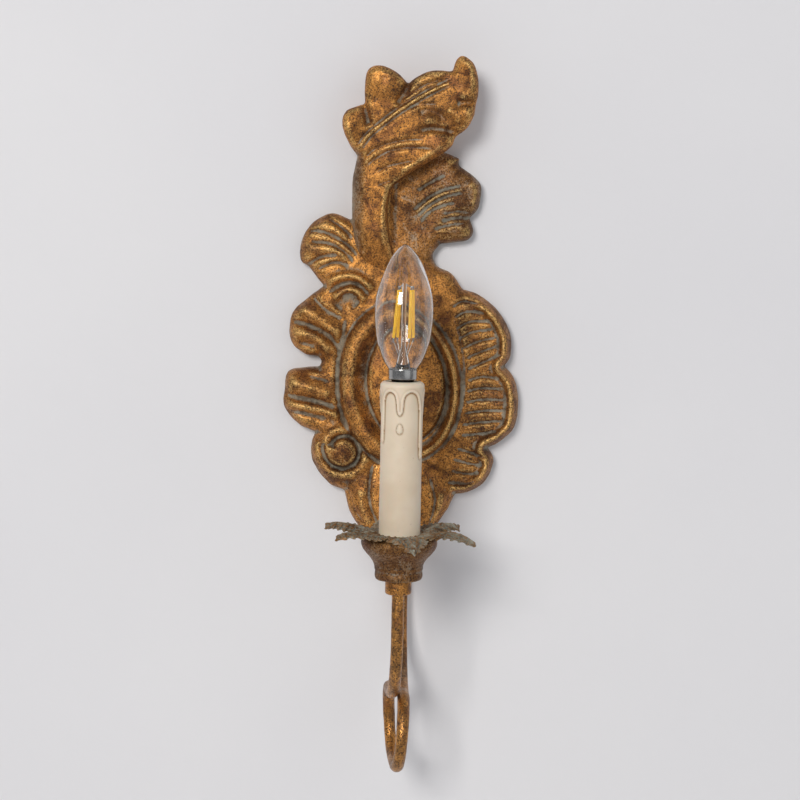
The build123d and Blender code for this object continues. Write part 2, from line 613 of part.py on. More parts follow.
def back_recesses():
    """What is cut from the back: the wiring recess, the room for the strap, the keyhole plates and the
    hook heads, the channel for the tube and the pocket for the arm strap."""
    recess = Pos(0, (RECESS_TOP + RECESS_BOTTOM) / 2) * RectangleRounded(
        2 * RECESS_HALF_WIDTH, RECESS_TOP - RECESS_BOTTOM, RECESS_CORNER
    )
    cut = slab(recess, -1, RECESS_DEPTH)
    gap = 2 * POCKET_GAP
    strap = Pos(0, -KEYHOLE_TRAVEL / 2) * Rectangle(STRAP_LENGTH + gap, STRAP_HEIGHT + KEYHOLE_TRAVEL + gap)
    cut += slab(strap, -1, HANGER_BACK)
    for side in (-1, 1):
        x = side * HOOK_SPACING / 2
        plate = Pos(x, HANGER_Z) * Rectangle(HANGER_WIDTH + gap, HANGER_HEIGHT + gap)
        cut += slab(plate, -1, HANGER_OUT)
        heads_width = 2 * (HOOK_HEAD_R + HEAD_POCKET_GAP)
        heads = Pos(x, -KEYHOLE_TRAVEL / 2) * Rectangle(heads_width, heads_width + KEYHOLE_TRAVEL)
        cut += slab(heads, -1, HEAD_OUT + HEAD_POCKET_GAP)
    channel_top = ARM_START + LEAD_DROP
    channel_bottom = BOARD_LOWEST - 10
    channel = Pos(ARM_SIDE, (channel_top + channel_bottom) / 2) * Rectangle(
        2 * (TUBE_R + CHANNEL_GAP), channel_top - channel_bottom
    )
    cut += slab(channel, -1, ARM_WALL_OUT + TUBE_R + CHANNEL_GAP)
    arm = Pos(0, ARM_STRAP_Z) * Rectangle(ARM_STRAP_LENGTH + gap, ARM_STRAP_HEIGHT + gap)
    return cut + slab(arm, -1, TUBE_BACK_OUT)


def carved_backplate():
    """The carved board. Its raised fields, flutes and folds are stepped slabs here."""
    board = slab(closed_outline(BOARD_START, BOARD_LOBES), 0, BOARD_OUT)
    board += raised(turned_oval(SECOND_LEAF), SECOND_LEAF_RISE)
    for place in SHELLS:
        board += raised(turned_oval(place), SHELL_RISE)
    for place in LOBES + [FOOT]:
        board += raised(turned_oval(place), LOBE_RISE)
    board += raised(Pos(*SCROLL_CENTRE) * Circle(SCROLL_R), SCROLL_RISE)
    board += raised(Pos(*SCROLL_CENTRE) * Circle(SCROLL_EYE_R), SCROLL_EYE_RISE)
    board += raised(oval(*MEDALLION_HALF), MEDALLION_RIM_RISE)
    inside_rim = oval(*[half - RIM_WIDTH for half in MEDALLION_HALF])
    board -= slab(inside_rim, MEDALLION_FLOOR_OUT, MEDALLION_RIM_OUT + 1)
    board += raised(oval(*BOSS_HALF), MEDALLION_BOSS_RISE)
    for place, count in zip(SHELLS, SHELL_FLUTES):
        board -= flutes(*place, count)
    board += raised(closed_outline(STEM_START, STEM_LOBES), STEM_RISE)
    board += slab(turned_oval(CREST_ROOT), 0, CREST_BACK + 1)
    board += slab(closed_outline(CREST_START, CREST_LOBES), CREST_BACK, BOARD_OUT + CREST_RISE)
    board -= back_recesses()
    for x, z in hanger_screw_places():
        board -= countersink(x, z, HANGER_BACK)
    for x, z in arm_strap_screw_places():
        board -= countersink(x, z, ARM_STRAP_OUT)
    for x, z in block_screw_places():
        board -= rod(x, z, 0, RECESS_DEPTH + BLOCK_SCREW_BITE + 0.5, BLOCK_SCREW_R + SCREW_HOLE_GAP)
    return board


# ---------------------------------------------------------------- candle stack
def turned(*edges):
    """A solid turned about the candle axis from the outline of its half section."""
    return Pos(*point(0, CANDLE_OUT, 0)) * revolve(make_face(Curve() + list(edges)), Axis.Z)


def turned_points(*profile):
    """The same, from (radius, height) points joined by straight lines."""
    return turned(*Polyline(*[(r, 0, z) for r, z in profile], close=True).edges())


def section(*profile):
    """One smooth line of a half section through (radius, height) points."""
    return Spline(*[(r, 0, z) for r, z in profile])


def straight(start, end):
    return Line((start[0], 0, start[1]), (end[0], 0, end[1]))


def ferrule():
    """Joins the tube to the nipple and carries the cup."""
    chamfer_size = 0.8
    top = CUP_BOTTOM
    return turned_points(
        (TUBE_R + FIT_GAP, FERRULE_BOTTOM),
        (FERRULE_R - chamfer_size, FERRULE_BOTTOM),
        (FERRULE_R, FERRULE_BOTTOM + chamfer_size),
        (FERRULE_R, top),
        (NIPPLE_R + FIT_GAP, top),
        (NIPPLE_R + FIT_GAP, TUBE_TOP),
        (TUBE_R + FIT_GAP, TUBE_TOP),
    )


def candle_cup():
    """The turned cup, hollow from above."""
    foot = CUP_BOTTOM
    rim = PAN_BOTTOM
    hole = NIPPLE_R + NIPPLE_HOLE_GAP
    rim_r = CUP_R - 1.8
    floor_z = foot + CUP_WALL + 1.5
    outside = [
        straight((hole, foot), (CUP_FOOT_R, foot)),
        section((CUP_FOOT_R, foot), (CUP_FOOT_R + 0.7, foot + 1.6), (CUP_FOOT_R, foot + 3.2)),
        section((CUP_FOOT_R, foot + 3.2), (CUP_WAIST_R, foot + 0.33 * CUP_HEIGHT), (CUP_R - 3.0, rim - 8.5)),
        section((CUP_R - 3.0, rim - 8.5), (CUP_R, rim - 4.0), (rim_r, rim)),
    ]
    inner_r = rim_r - CUP_WALL
    floor_r = CUP_FOOT_R - CUP_WALL - 1
    inside = [
        straight((rim_r, rim), (inner_r, rim)),
        section((inner_r, rim), (CUP_WAIST_R - CUP_WALL, foot + 0.5 * CUP_HEIGHT), (floor_r, floor_z)),
        straight((floor_r, floor_z), (hole, floor_z)),
        straight((hole, floor_z), (hole, foot)),
    ]
    return turned(*outside, *inside)


def petal(index):
    """One leaf of the drip pan: a leaf outline cut from a bent strip of sheet."""
    rise = PETAL_TIP_RISE[index]
    root_r = PAN_DISC_R - 6
    middle = (root_r + PETAL_REACH) / 2
    line = [(root_r, 0.1), (root_r + 6, 0.4), (middle, PETAL_ARCH)]
    line += [(PETAL_REACH - 7, PETAL_ARCH + 0.6 * rise), (PETAL_REACH, PETAL_ARCH + rise - 1.5)]
    ease = [(1, 0, 0), (7, 0, 0.4 * rise - 2.0)]
    under = Spline(*[(r, 0, PAN_BOTTOM + z) for r, z in line], tangents=ease)
    over = Spline(*[(r, 0, PAN_TOP + z) for r, z in line], tangents=ease)
    ends = [Line(under @ 0, over @ 0), Line(under @ 1, over @ 1)]
    strip = extrude(make_face(Curve() + [under, over] + ends), amount=2 * PETAL_HALF_WIDTH, both=True)
    half = [(root_r, PETAL_HALF_WIDTH * 0.55), (middle, PETAL_HALF_WIDTH)]
    half += [(PETAL_REACH - 9, 8.0), (PETAL_REACH, 0)]
    left = Spline(*half)
    right = Spline(*[(r, -y) for r, y in half])
    outline = make_face(Curve() + [left, right, Line(left @ 0, right @ 0)])
    leaf = strip & Pos(0, 0, PAN_BOTTOM - 20) * extrude(outline, amount=40)
    return Rot(0, 0, PETAL_TURN - 90 + index * 360 / PETAL_COUNT) * leaf


def drip_pan():
    """Sheet metal pan: a disc with six pointed leaves."""
    disc = Pos(0, 0, PAN_BOTTOM) * extrude(Circle(PAN_DISC_R), amount=PAN_THICKNESS)
    pan = disc
    for index in range(PETAL_COUNT):
        pan += petal(index)
    pan -= Pos(0, 0, PAN_BOTTOM) * Cylinder(NIPPLE_R + NIPPLE_HOLE_GAP, 10)
    return Pos(*point(0, CANDLE_OUT, 0)) * pan


def threaded_nipple():
    return tube_round(CANDLE_OUT, NIPPLE_BOTTOM, NIPPLE_TOP, NIPPLE_R, NIPPLE_BORE_R)


def pan_washer():
    return tube_round(CANDLE_OUT, PAN_TOP, WASHER_TOP, WASHER_R, NIPPLE_R + NIPPLE_HOLE_GAP)


def hex_nut(bottom):
    """A nut on the nipple."""
    blank = extrude(RegularPolygon(NUT_ACROSS_FLATS / 2, 6, major_radius=False), amount=NUT_HEIGHT)
    nut = blank - extrude(Circle(NIPPLE_R + FIT_GAP), amount=NUT_HEIGHT)
    return Pos(*point(0, CANDLE_OUT, bottom)) * nut


def lamp_holder():
    """Insulating body: a base threaded on the nipple, a wiring space, a floor and a well for the shell."""
    base_top = HOLDER_BOTTOM + HOLDER_BASE
    body = turned_points(
        (NIPPLE_R + FIT_GAP, HOLDER_BOTTOM),
        (HOLDER_R - 1, HOLDER_BOTTOM),
        (HOLDER_R, HOLDER_BOTTOM + 1),
        (HOLDER_R, HOLDER_TOP - 0.6),
        (HOLDER_R - 0.6, HOLDER_TOP),
        (SOCKET_SHELL_R + FIT_GAP, HOLDER_TOP),
        (SOCKET_SHELL_R + FIT_GAP, SOCKET_FLOOR),
        (0, SOCKET_FLOOR),
        (0, CHAMBER_TOP),
        (HOLDER_CHAMBER_R, CHAMBER_TOP),
        (HOLDER_CHAMBER_R, base_top),
        (NIPPLE_R + FIT_GAP, base_top),
    )
    slot_height = 2 * HOLDER_FLOOR + 1
    for x in (-CONTACT_TAIL_X, SHELL_TAIL_X):
        slot = Box(CONTACT_STRIP + 2 * FIT_GAP, CONTACT_STRIP_WIDTH + 2 * FIT_GAP, slot_height)
        body -= Pos(*point(x, CANDLE_OUT, SOCKET_FLOOR - HOLDER_FLOOR / 2)) * slot
    return body


def tail(x, top):
    """The part of a contact that passes through the floor of the holder."""
    strip = Box(CONTACT_STRIP, CONTACT_STRIP_WIDTH, top - TAIL_BOTTOM)
    return Pos(*point(x, CANDLE_OUT, (top + TAIL_BOTTOM) / 2)) * strip


def socket_shell():
    """Screw shell of the holder, with its thread left as a clear ring."""
    inner = SOCKET_SHELL_R - SOCKET_SHELL_WALL
    shell = tube_round(CANDLE_OUT, SOCKET_FLOOR, HOLDER_TOP - SOCKET_SHELL_DROP, SOCKET_SHELL_R, inner)
    flange = tube_round(CANDLE_OUT, SOCKET_FLOOR, SOCKET_FLOOR + CONTACT_STRIP, SOCKET_SHELL_R - 0.1, 5.2)
    return shell + flange + tail(SHELL_TAIL_X, SOCKET_FLOOR + CONTACT_STRIP)


def contact_tongue():
    """Centre contact: a tail through the floor and a tongue that rises to the lamp."""
    x = -CONTACT_TAIL_X
    tip_z = LAMP_BOTTOM - CONTACT_AIR
    low_z = SOCKET_FLOOR
    half = CONTACT_STRIP / 2
    profile = Polyline(
        (x - half, low_z),
        (x + half, low_z),
        (x + half, low_z + 0.4),
        (CONTACT_R, tip_z - CONTACT_STRIP),
        (CONTACT_R, tip_z),
        (-0.5, tip_z),
        (x - half, low_z + 1.0),
        close=True,
    )
    tongue = extrude(Plane.XZ * make_face(profile), amount=CONTACT_STRIP_WIDTH / 2, both=True)
    return Pos(*point(0, CANDLE_OUT, 0)) * tongue + tail(x, low_z + 0.1)


def candle_sleeve():
    """The candle: a sleeve closed at the top but for a round opening, with a rounded rim."""
    inner = SLEEVE_R - SLEEVE_WALL
    round_r = 2.0
    top = SLEEVE_TOP
    corner = ThreePointArc(
        (SLEEVE_R, 0, top - round_r),
        (SLEEVE_R - 0.29 * round_r, 0, top - 0.29 * round_r),
        (SLEEVE_R - round_r, 0, top),
    )
    return turned(
        straight((inner, SLEEVE_BOTTOM), (SLEEVE_R, SLEEVE_BOTTOM)),
        straight((SLEEVE_R, SLEEVE_BOTTOM), (SLEEVE_R, top - round_r)),
        corner,
        straight((SLEEVE_R - round_r, top), (SLEEVE_LIP_R, top)),
        straight((SLEEVE_LIP_R, top), (SLEEVE_LIP_R, top - SLEEVE_WALL)),
        straight((SLEEVE_LIP_R, top - SLEEVE_WALL), (inner, top - SLEEVE_WALL)),
        straight((inner, top - SLEEVE_WALL), (inner, SLEEVE_BOTTOM)),
    )


# ---------------------------------------------------------------- lamp
def glass_line(inset):
    """Half section of the glass, from neck to tip, moved in from the outside."""
    base = SKIRT_TOP
    belly = [(0.66, 0.05), (0.795, 0.13), (0.92, 0.235), (1.0, 0.4), (0.965, 0.56), (0.8, 0.71), (0.52, 0.87)]
    places = [(GLASS_NECK_R - inset, base)]
    places += [(GLASS_R * r - inset, base + GLASS_HEIGHT * z) for r, z in belly]
    places.append((GLASS_TIP_R, base + GLASS_HEIGHT - inset))
    return Spline(*[(r, 0, z) for r, z in places], tangents=[(1, 0, 1), (-1, 0, 0)])


def bulb_glass():
    """Candle shaped glass with a neck that stands in the cap skirt."""
    outer = glass_line(0)
    inner = glass_line(GLASS_WALL)
    base = SKIRT_TOP
    low = base - GLASS_NECK_DEPTH
    top = base + GLASS_HEIGHT
    inner_neck = GLASS_NECK_R - GLASS_WALL
    return turned(
        outer,
        inner,
        straight((GLASS_NECK_R, base), (GLASS_NECK_R, low)),
        straight((GLASS_NECK_R, low), (inner_neck, low)),
        straight((inner_neck, low), (inner_neck, base)),
        straight((GLASS_TIP_R, top - GLASS_WALL), (0, top - GLASS_WALL)),
        straight((0, top - GLASS_WALL), (0, top)),
        straight((0, top), (GLASS_TIP_R, top)),
    )


def bulb_stem():
    """Glass stem: a flare in the neck and a rod between the filaments."""
    base = SKIRT_TOP
    low = base - GLASS_NECK_DEPTH
    flare = section((STEM_FLARE_R, low + 1), (STEM_FLARE_R - 2.2, base + 6), (STEM_GLASS_R, base + 13))
    return turned(
        straight((0, low), (GLASS_NECK_R - GLASS_WALL - FIT_GAP, low)),
        straight((GLASS_NECK_R - GLASS_WALL - FIT_GAP, low), (GLASS_NECK_R - GLASS_WALL - FIT_GAP, low + 1)),
        straight((GLASS_NECK_R - GLASS_WALL - FIT_GAP, low + 1), (STEM_FLARE_R, low + 1)),
        flare,
        straight((STEM_GLASS_R, base + 13), (STEM_GLASS_R, base + STEM_TOP)),
        straight((STEM_GLASS_R, base + STEM_TOP), (0, base + STEM_TOP)),
        straight((0, base + STEM_TOP), (0, low)),
    )


def filament_ends(place):
    """Lower and upper end of a light strip."""
    (low_x, low_forward), (high_x, high_forward) = place
    lower = point(low_x, CANDLE_OUT + low_forward, SKIRT_TOP + FILAMENT_BOTTOM)
    return lower, point(high_x, CANDLE_OUT + high_forward, SKIRT_TOP + FILAMENT_TOP)


def bulb_filaments():
    """Four straight light strips round the stem."""
    return group(swept(Line(*filament_ends(place)), FILAMENT_R) for place in FILAMENTS)


def filament_supports():
    """Wires from the stem to both ends of each light strip."""
    wires = []
    for place in FILAMENTS:
        lower, upper = filament_ends(place)
        (low_x, low_forward), (high_x, high_forward) = place
        share = 2.6 / math.hypot(low_x, low_forward)
        root = point(low_x * share, CANDLE_OUT + low_forward * share, SKIRT_TOP + 7.0)
        wires.append(swept(Line(root, lower), SUPPORT_R))
        share = STEM_GLASS_R / math.hypot(high_x, high_forward)
        hook = point(high_x * share, CANDLE_OUT + high_forward * share, SKIRT_TOP + STEM_TOP - 0.6)
        wires.append(swept(Line(hook, upper), SUPPORT_R))
    return group(wires)


def bulb_cap():
    """Thin metal cap: a threaded part, left as a clear ring, and a wider skirt."""
    inner = CAP_R - CAP_WALL
    skirt = CAP_SKIRT_R - CAP_WALL
    return turned_points(
        (inner - 1.2, CAP_BOTTOM),
        (CAP_R, CAP_BOTTOM),
        (CAP_R, SKIRT_BOTTOM),
        (CAP_SKIRT_R, SKIRT_BOTTOM),
        (CAP_SKIRT_R, SKIRT_TOP),
        (skirt, SKIRT_TOP),
        (skirt, SKIRT_BOTTOM + CAP_WALL),
        (inner, SKIRT_BOTTOM + CAP_WALL),
        (inner, CAP_BOTTOM + CAP_WALL),
        (inner - 1.2, CAP_BOTTOM + CAP_WALL),
    )


def bulb_cap_insulator():
    """Cone between the cap and the centre contact."""
    return turned_points(
        (0, INSULATOR_BOTTOM),
        (INSULATOR_TIP_R, INSULATOR_BOTTOM),
        (CAP_R - 0.4, CAP_BOTTOM),
        (0, CAP_BOTTOM),
    )


def bulb_contact():
    return tube_round(CANDLE_OUT, LAMP_BOTTOM, INSULATOR_BOTTOM, CONTACT_R)


# ---------------------------------------------------------------- the parts
write(carved_backplate(), "carved_backplate")
write(keyhole_plate(-1), "keyhole_plate_left")
write(keyhole_plate(1), "keyhole_plate_right")
write(hanger_screws(), "hanger_screws")
write(wall_strap(), "wall_strap")
write(strap_hooks(), "strap_hooks")
write(arm_strap(), "arm_strap")
write(arm_strap_screws(), "arm_strap_screws")
write(scroll_arm(), "scroll_arm")
write(lamp_lead(0, -LEAD_SIDE, -CONTACT_TAIL_X), "live_lead")
write(lamp_lead(1, LEAD_SIDE, SHELL_TAIL_X), "neutral_lead")
write(earth_lead(), "earth_lead")
write(earth_lug(), "earth_lug")
write(earth_screw(), "earth_screw")
write(terminal_block(), "terminal_block")
write(terminal_clamps(), "terminal_clamps")
write(terminal_screws(), "terminal_screws")
write(block_screws(), "block_screws")
write(ferrule(), "ferrule")
write(candle_cup(), "candle_cup")
write(drip_pan(), "drip_pan")
write(threaded_nipple(), "threaded_nipple")
write(pan_washer(), "pan_washer")
write(hex_nut(WASHER_TOP), "pan_nut")
write(hex_nut(HOLDER_BOTTOM - LOCKNUT_GAP - NUT_HEIGHT), "holder_locknut")
write(lamp_holder(), "lamp_holder")
write(socket_shell(), "socket_shell")
write(contact_tongue(), "contact_tongue")
write(candle_sleeve(), "candle_sleeve")
write(bulb_glass(), "bulb_glass")
write(bulb_stem(), "bulb_stem")
write(bulb_filaments(), "bulb_filaments")
write(filament_supports(), "filament_supports")
write(bulb_cap(), "bulb_cap")
write(bulb_cap_insulator(), "bulb_cap_insulator")
write(bulb_contact(), "bulb_contact")
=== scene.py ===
# %% [markdown]
# # A carved and gilded wall sconce
# The real object is a carved wooden board, gessoed, gilded and antiqued, with a looped iron arm
# that carries a turned cup, a sheet-metal leaf pan and a waxy candle sleeve with a clear candle
# lamp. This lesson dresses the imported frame: each visible piece is modelled again in fine detail
# where the frame has only its plain shape. Lengths are written in millimetres, "out" is a
# distance out from the wall (minus Y), and mm() turns them into metres.

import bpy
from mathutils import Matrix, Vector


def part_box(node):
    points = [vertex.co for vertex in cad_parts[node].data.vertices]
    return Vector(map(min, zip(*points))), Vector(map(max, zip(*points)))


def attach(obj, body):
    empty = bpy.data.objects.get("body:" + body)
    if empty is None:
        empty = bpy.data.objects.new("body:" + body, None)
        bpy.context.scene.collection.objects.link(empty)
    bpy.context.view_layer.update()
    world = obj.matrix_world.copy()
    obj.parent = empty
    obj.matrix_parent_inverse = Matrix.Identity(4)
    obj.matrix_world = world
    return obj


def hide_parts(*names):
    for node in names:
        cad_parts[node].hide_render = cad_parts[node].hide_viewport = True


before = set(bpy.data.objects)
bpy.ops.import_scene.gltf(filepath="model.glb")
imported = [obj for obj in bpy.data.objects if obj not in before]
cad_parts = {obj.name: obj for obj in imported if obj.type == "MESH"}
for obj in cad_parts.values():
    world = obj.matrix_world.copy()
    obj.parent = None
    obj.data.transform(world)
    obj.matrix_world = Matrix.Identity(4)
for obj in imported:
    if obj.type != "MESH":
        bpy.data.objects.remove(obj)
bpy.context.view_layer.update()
print("nodes in the frame:", len(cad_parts))

# %% Small tools for lengths and places
import math

import bpy
import numpy as np
from mathutils import Matrix, Vector

MM = 0.001


def mm(*values):
    """Millimetres as metres."""
    return tuple(value * MM for value in values)


def place(x, out, z):
    """A place at a distance out from the wall."""
    return Vector(mm(x, -out, z))


def node_box(node):
    """Lowest and highest corner of a node, in millimetres."""
    lo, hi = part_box(node)
    return [value / MM for value in lo], [value / MM for value in hi]


# %% Places of the pieces, read from the frame
sleeve_lo, sleeve_hi = node_box("candle_sleeve")
cup_lo, cup_hi = node_box("candle_cup")
cap_lo, cap_hi = node_box("bulb_cap")
CANDLE_OUT = -(sleeve_lo[1] + sleeve_hi[1]) / 2
SLEEVE_R = (sleeve_hi[0] - sleeve_lo[0]) / 2
SLEEVE_BOTTOM, SLEEVE_TOP = sleeve_lo[2], sleeve_hi[2]
CUP_BOTTOM, CUP_TOP = cup_lo[2], cup_hi[2]
FERRULE_BOTTOM = node_box("ferrule")[0][2]
CAP_BOTTOM, CAP_TOP = cap_lo[2], cap_hi[2]
GLASS_TIP = node_box("bulb_glass")[1][2]
print("candle axis", round(CANDLE_OUT, 1), "mm out")
print("sleeve from", round(SLEEVE_BOTTOM, 1), "to", round(SLEEVE_TOP, 1))


# %% [markdown]
# ## Working by operators
# Operators act on whatever is selected, so every step starts with nothing selected. These helpers
# pick objects and points in code, apply modifiers, and finish a piece: its place goes into its
# mesh, and the piece is tied to the body that carries it.

# %% Helpers for selecting, shaping and finishing
def pick(obj):
    """Select one object alone and make it active."""
    bpy.ops.object.select_all(action="DESELECT")
    obj.select_set(True)
    bpy.context.view_layer.objects.active = obj


def apply_place(obj):
    pick(obj)
    bpy.ops.object.transform_apply(location=True, rotation=True, scale=True)


def apply_modifier(obj, kind, **settings):
    """Add a modifier, set it and apply it."""
    modifier = obj.modifiers.new(kind.lower(), kind)
    for name, value in settings.items():
        setattr(modifier, name, value)
    pick(obj)
    bpy.ops.object.modifier_apply(modifier=modifier.name)


def tidy_mesh(obj, merge=0.00001):
    """Merge doubles and turn every face outwards."""
    pick(obj)
    bpy.ops.object.mode_set(mode="EDIT")
    bpy.ops.mesh.select_all(action="SELECT")
    bpy.ops.mesh.remove_doubles(threshold=merge)
    bpy.ops.mesh.normals_make_consistent(inside=False)
    bpy.ops.object.mode_set(mode="OBJECT")


def read_points(obj):
    """The mesh's points as rows of x, out, z in millimetres."""
    flat = np.empty(len(obj.data.vertices) * 3)
    obj.data.vertices.foreach_get("co", flat)
    points = flat.reshape(-1, 3) / MM
    points[:, 1] *= -1
    return points


def write_points(obj, points):
    moved = points * MM
    moved[:, 1] *= -1
    obj.data.vertices.foreach_set("co", moved.ravel())
    obj.data.update()


def join(objects, name):
    bpy.ops.object.select_all(action="DESELECT")
    for obj in objects:
        obj.select_set(True)
    bpy.context.view_layer.objects.active = objects[0]
    if len(objects) > 1:
        bpy.ops.object.join()
    objects[0].name = name
    objects[0].data.name = name
    return objects[0]


def finish_piece(obj, body, replaced=(), smooth_angle=None):
    """Shade the piece, tie it to its body and hide the frame's nodes that it replaces."""
    pick(obj)
    if smooth_angle is None:
        bpy.ops.object.shade_smooth()
    else:
        bpy.ops.object.shade_smooth_by_angle(angle=math.radians(smooth_angle))
    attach(obj, body)
    if replaced:
        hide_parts(*replaced)
    print(obj.name, len(obj.data.polygons), "faces on", body)
    return obj


# %% Smooth lines through a few points
def smooth_line(points, step=0.4):
    """A smooth line through given points, as close dots along it."""
    dots = []
    pts = [np.array(p, float) for p in points]
    ends = [2 * pts[0] - pts[1]] + pts + [2 * pts[-1] - pts[-2]]
    for a, b, c, d in zip(ends, ends[1:], ends[2:], ends[3:]):
        count = max(2, int(np.linalg.norm(c - b) / step))
        for i in range(count):
            t = i / count
            bend = -a + 3 * b - 3 * c + d
            dots.append(b + 0.5 * t * ((c - a) + t * ((2 * a - 5 * b + 4 * c - d) + t * bend)))
    dots.append(pts[-1])
    return np.array(dots)


def lobed_line(start, lobes, step=0.4):
    """A closed outline: one smooth line per lobe, with a cusp between neighbours."""
    runs = []
    at = start
    for lobe in lobes:
        runs.append(smooth_line([at] + list(lobe), step)[:-1])
        at = lobe[-1]
    return np.vstack(runs)


def smoothstep(low, high, value):
    t = np.clip((value - low) / (high - low), 0, 1)
    return t * t * (3 - 2 * t)


# %% [markdown]
# ## The outline of the carving
# The board is sawn to this outline first. Each row is one lobe between two notches, and follows
# the frame's own outline, in X and Z.

# %% Outlines of the board and the crest leaf
BOARD_START = (-34.5, 102)
BOARD_LOBES = [
    [(-34.8, 112), (-34.5, 130), (-31, 142)],  # left side of the stem
    [(-22, 152), (-6, 156), (14, 150), (26, 146), (33.7, 143)],  # behind the crest
    [(34, 138.5), (43, 132), (48.2, 125), (46.6, 112), (41, 105)],  # second leaf
    [(43.8, 96.5), (40, 91), (31.8, 89.3), (22.5, 88.2)],
    [(17.9, 81), (21.3, 73.4), (30.4, 69), (37.7, 59)],  # open notch under it
    [(48.8, 55.4), (61.3, 45.3), (69.4, 30.6), (69.8, 17), (66.1, 9.9)],  # upper shell
    [(72.7, 1.6), (75.7, -12.6), (73.6, -29.6), (64.1, -39.6), (56.4, -43.7)],  # middle shell
    [(60.6, -52), (55.7, -65.3), (45, -73), (35.8, -74.5)],  # lower shell
    [(30.9, -85.2), (22.7, -98), (14.5, -112.5), (7, -122.3)],  # right side of the foot
    [(-0.9, -125.8), (-8.2, -122.5)],
    [(-17.6, -110.7), (-25.6, -98.9), (-33, -86.6), (-36.5, -73.4)],  # left side of the foot
    [(-47, -68.8), (-56.9, -55.9), (-58.7, -44.2), (-55.9, -35.6)],  # scroll
    [(-67, -30.6), (-76.4, -19.7), (-76.5, -8), (-74.5, 3.2), (-65, 5.8), (-54.1, 6.7)],
    [(-52.8, 10.6), (-54.8, 13.8)],
    [(-64.5, 15.6), (-73.2, 24.5), (-72.4, 41), (-63.2, 50.8), (-51.7, 59.7)],  # middle lobe
    [(-57, 65.4), (-62.1, 72.3)],
    [(-67.3, 76), (-67, 88), (-60.5, 99.5), (-48, 106.3), (-34.5, 102)],  # upper lobe
]
CREST_START = (-31.6, 143)
CREST_LOBES = [
    [(-37.5, 151.5), (-41.5, 163), (-38.5, 171), (-27.3, 175.5)],
    [(-27.5, 187), (-25.5, 196.5), (-18.3, 199.3), (-8.1, 195.5), (-0.4, 188.4)],
    [(6, 193.1), (15, 196.6), (27.5, 196.5)],
    [(30, 204), (34.5, 206), (41.5, 199.8), (44.1, 186), (42.4, 175)],
    [(41.3, 168.5), (37, 161), (30.4, 156.1)],
    [(27.5, 149.5), (18, 142.5), (5, 134.5), (-8, 125)],
    [(-10.6, 119), (-11.6, 108), (-10.2, 93), (-6.5, 79), (0, 66)],  # right side of the stem
    [(-12, 61), (-26, 66), (-33, 80)],  # where it grows out of the board
    [(-34.2, 96), (-34.6, 112), (-34.2, 130), (-31.6, 143)],  # left side of the stem
]
board_line = lobed_line(BOARD_START, BOARD_LOBES, 1.1)
crest_line = lobed_line(CREST_START, CREST_LOBES, 1.1)
print("board outline:", len(board_line), "dots,", len(BOARD_LOBES), "lobes")


# %% [markdown]
# ## Sawing the blanks
# A flat curve along the outline, extruded, is the sawn blank. The Remesh modifier then covers it
# with small even faces, as a carver needs wood everywhere, because the relief comes from moving
# those faces' points in and out.

# %% Blank from an outline
REMESH_SIZE = 0.85  # mm


def blank(name, line, out_from, out_to):
    """A sawn blank between two distances out from the wall, with an even skin of small faces."""
    curve = bpy.data.curves.new(name, "CURVE")
    curve.dimensions = "2D"
    curve.fill_mode = "BOTH"
    curve.extrude = (out_to - out_from) / 2 * MM
    spline = curve.splines.new("POLY")
    spline.points.add(len(line) - 1)
    for dot, (x, z) in zip(spline.points, line):
        dot.co = (x * MM, z * MM, 0, 1)
    spline.use_cyclic_u = True
    obj = bpy.data.objects.new(name, curve)
    bpy.context.collection.objects.link(obj)
    obj.rotation_euler = (math.pi / 2, 0, 0)
    obj.location = place(0, (out_from + out_to) / 2, 0)
    pick(obj)
    bpy.ops.object.convert(target="MESH")
    obj = bpy.context.object
    apply_place(obj)
    tidy_mesh(obj)
    apply_modifier(obj, "REMESH", mode="VOXEL", voxel_size=REMESH_SIZE * MM)
    return obj


# %% [markdown]
# ## Carving tools
# Each stroke of the carver is a smooth line with a depth and a half width. A gouge cuts a rounded
# groove, a ridge leaves a rounded band standing, and a rib is a raised line between two fine
# cuts. Strokes fade out towards their ends, as a tool leaves the wood.

# %% Distances to lines and the strokes
def inside_distance(x, z, line):
    """Distance to a closed outline in millimetres: positive inside, negative outside."""
    nearest = np.full(len(x), 1e9)
    inside = np.zeros(len(x), bool)
    follow = np.roll(line, -1, axis=0)
    for (ax, az), (bx, bz) in zip(line, follow):
        dx, dz = bx - ax, bz - az
        t = np.clip(((x - ax) * dx + (z - az) * dz) / (dx * dx + dz * dz + 1e-9), 0, 1)
        nearest = np.minimum(nearest, (x - ax - t * dx) ** 2 + (z - az - t * dz) ** 2)
        if az != bz:
            crosses = (az > z) != (bz > z)
            inside ^= crosses & (x < ax + (z - az) / (bz - az) * dx)
    return np.where(inside, 1, -1) * np.sqrt(nearest)


def near_stroke(x, z, points, reach):
    """Which places lie near a smooth line, how far from it, and how far along it (0 to 1)."""
    dots = smooth_line(points, 0.5)
    lo, hi = dots.min(axis=0) - reach, dots.max(axis=0) + reach
    near = np.nonzero((x > lo[0]) & (x < hi[0]) & (z > lo[1]) & (z < hi[1]))[0]
    if not len(near):
        return near, np.zeros(0), np.zeros(0)
    gap = (x[near, None] - dots[:, 0]) ** 2 + (z[near, None] - dots[:, 1]) ** 2
    nearest = gap.argmin(axis=1)
    return near, np.sqrt(gap[np.arange(len(near)), nearest]), nearest / (len(dots) - 1)


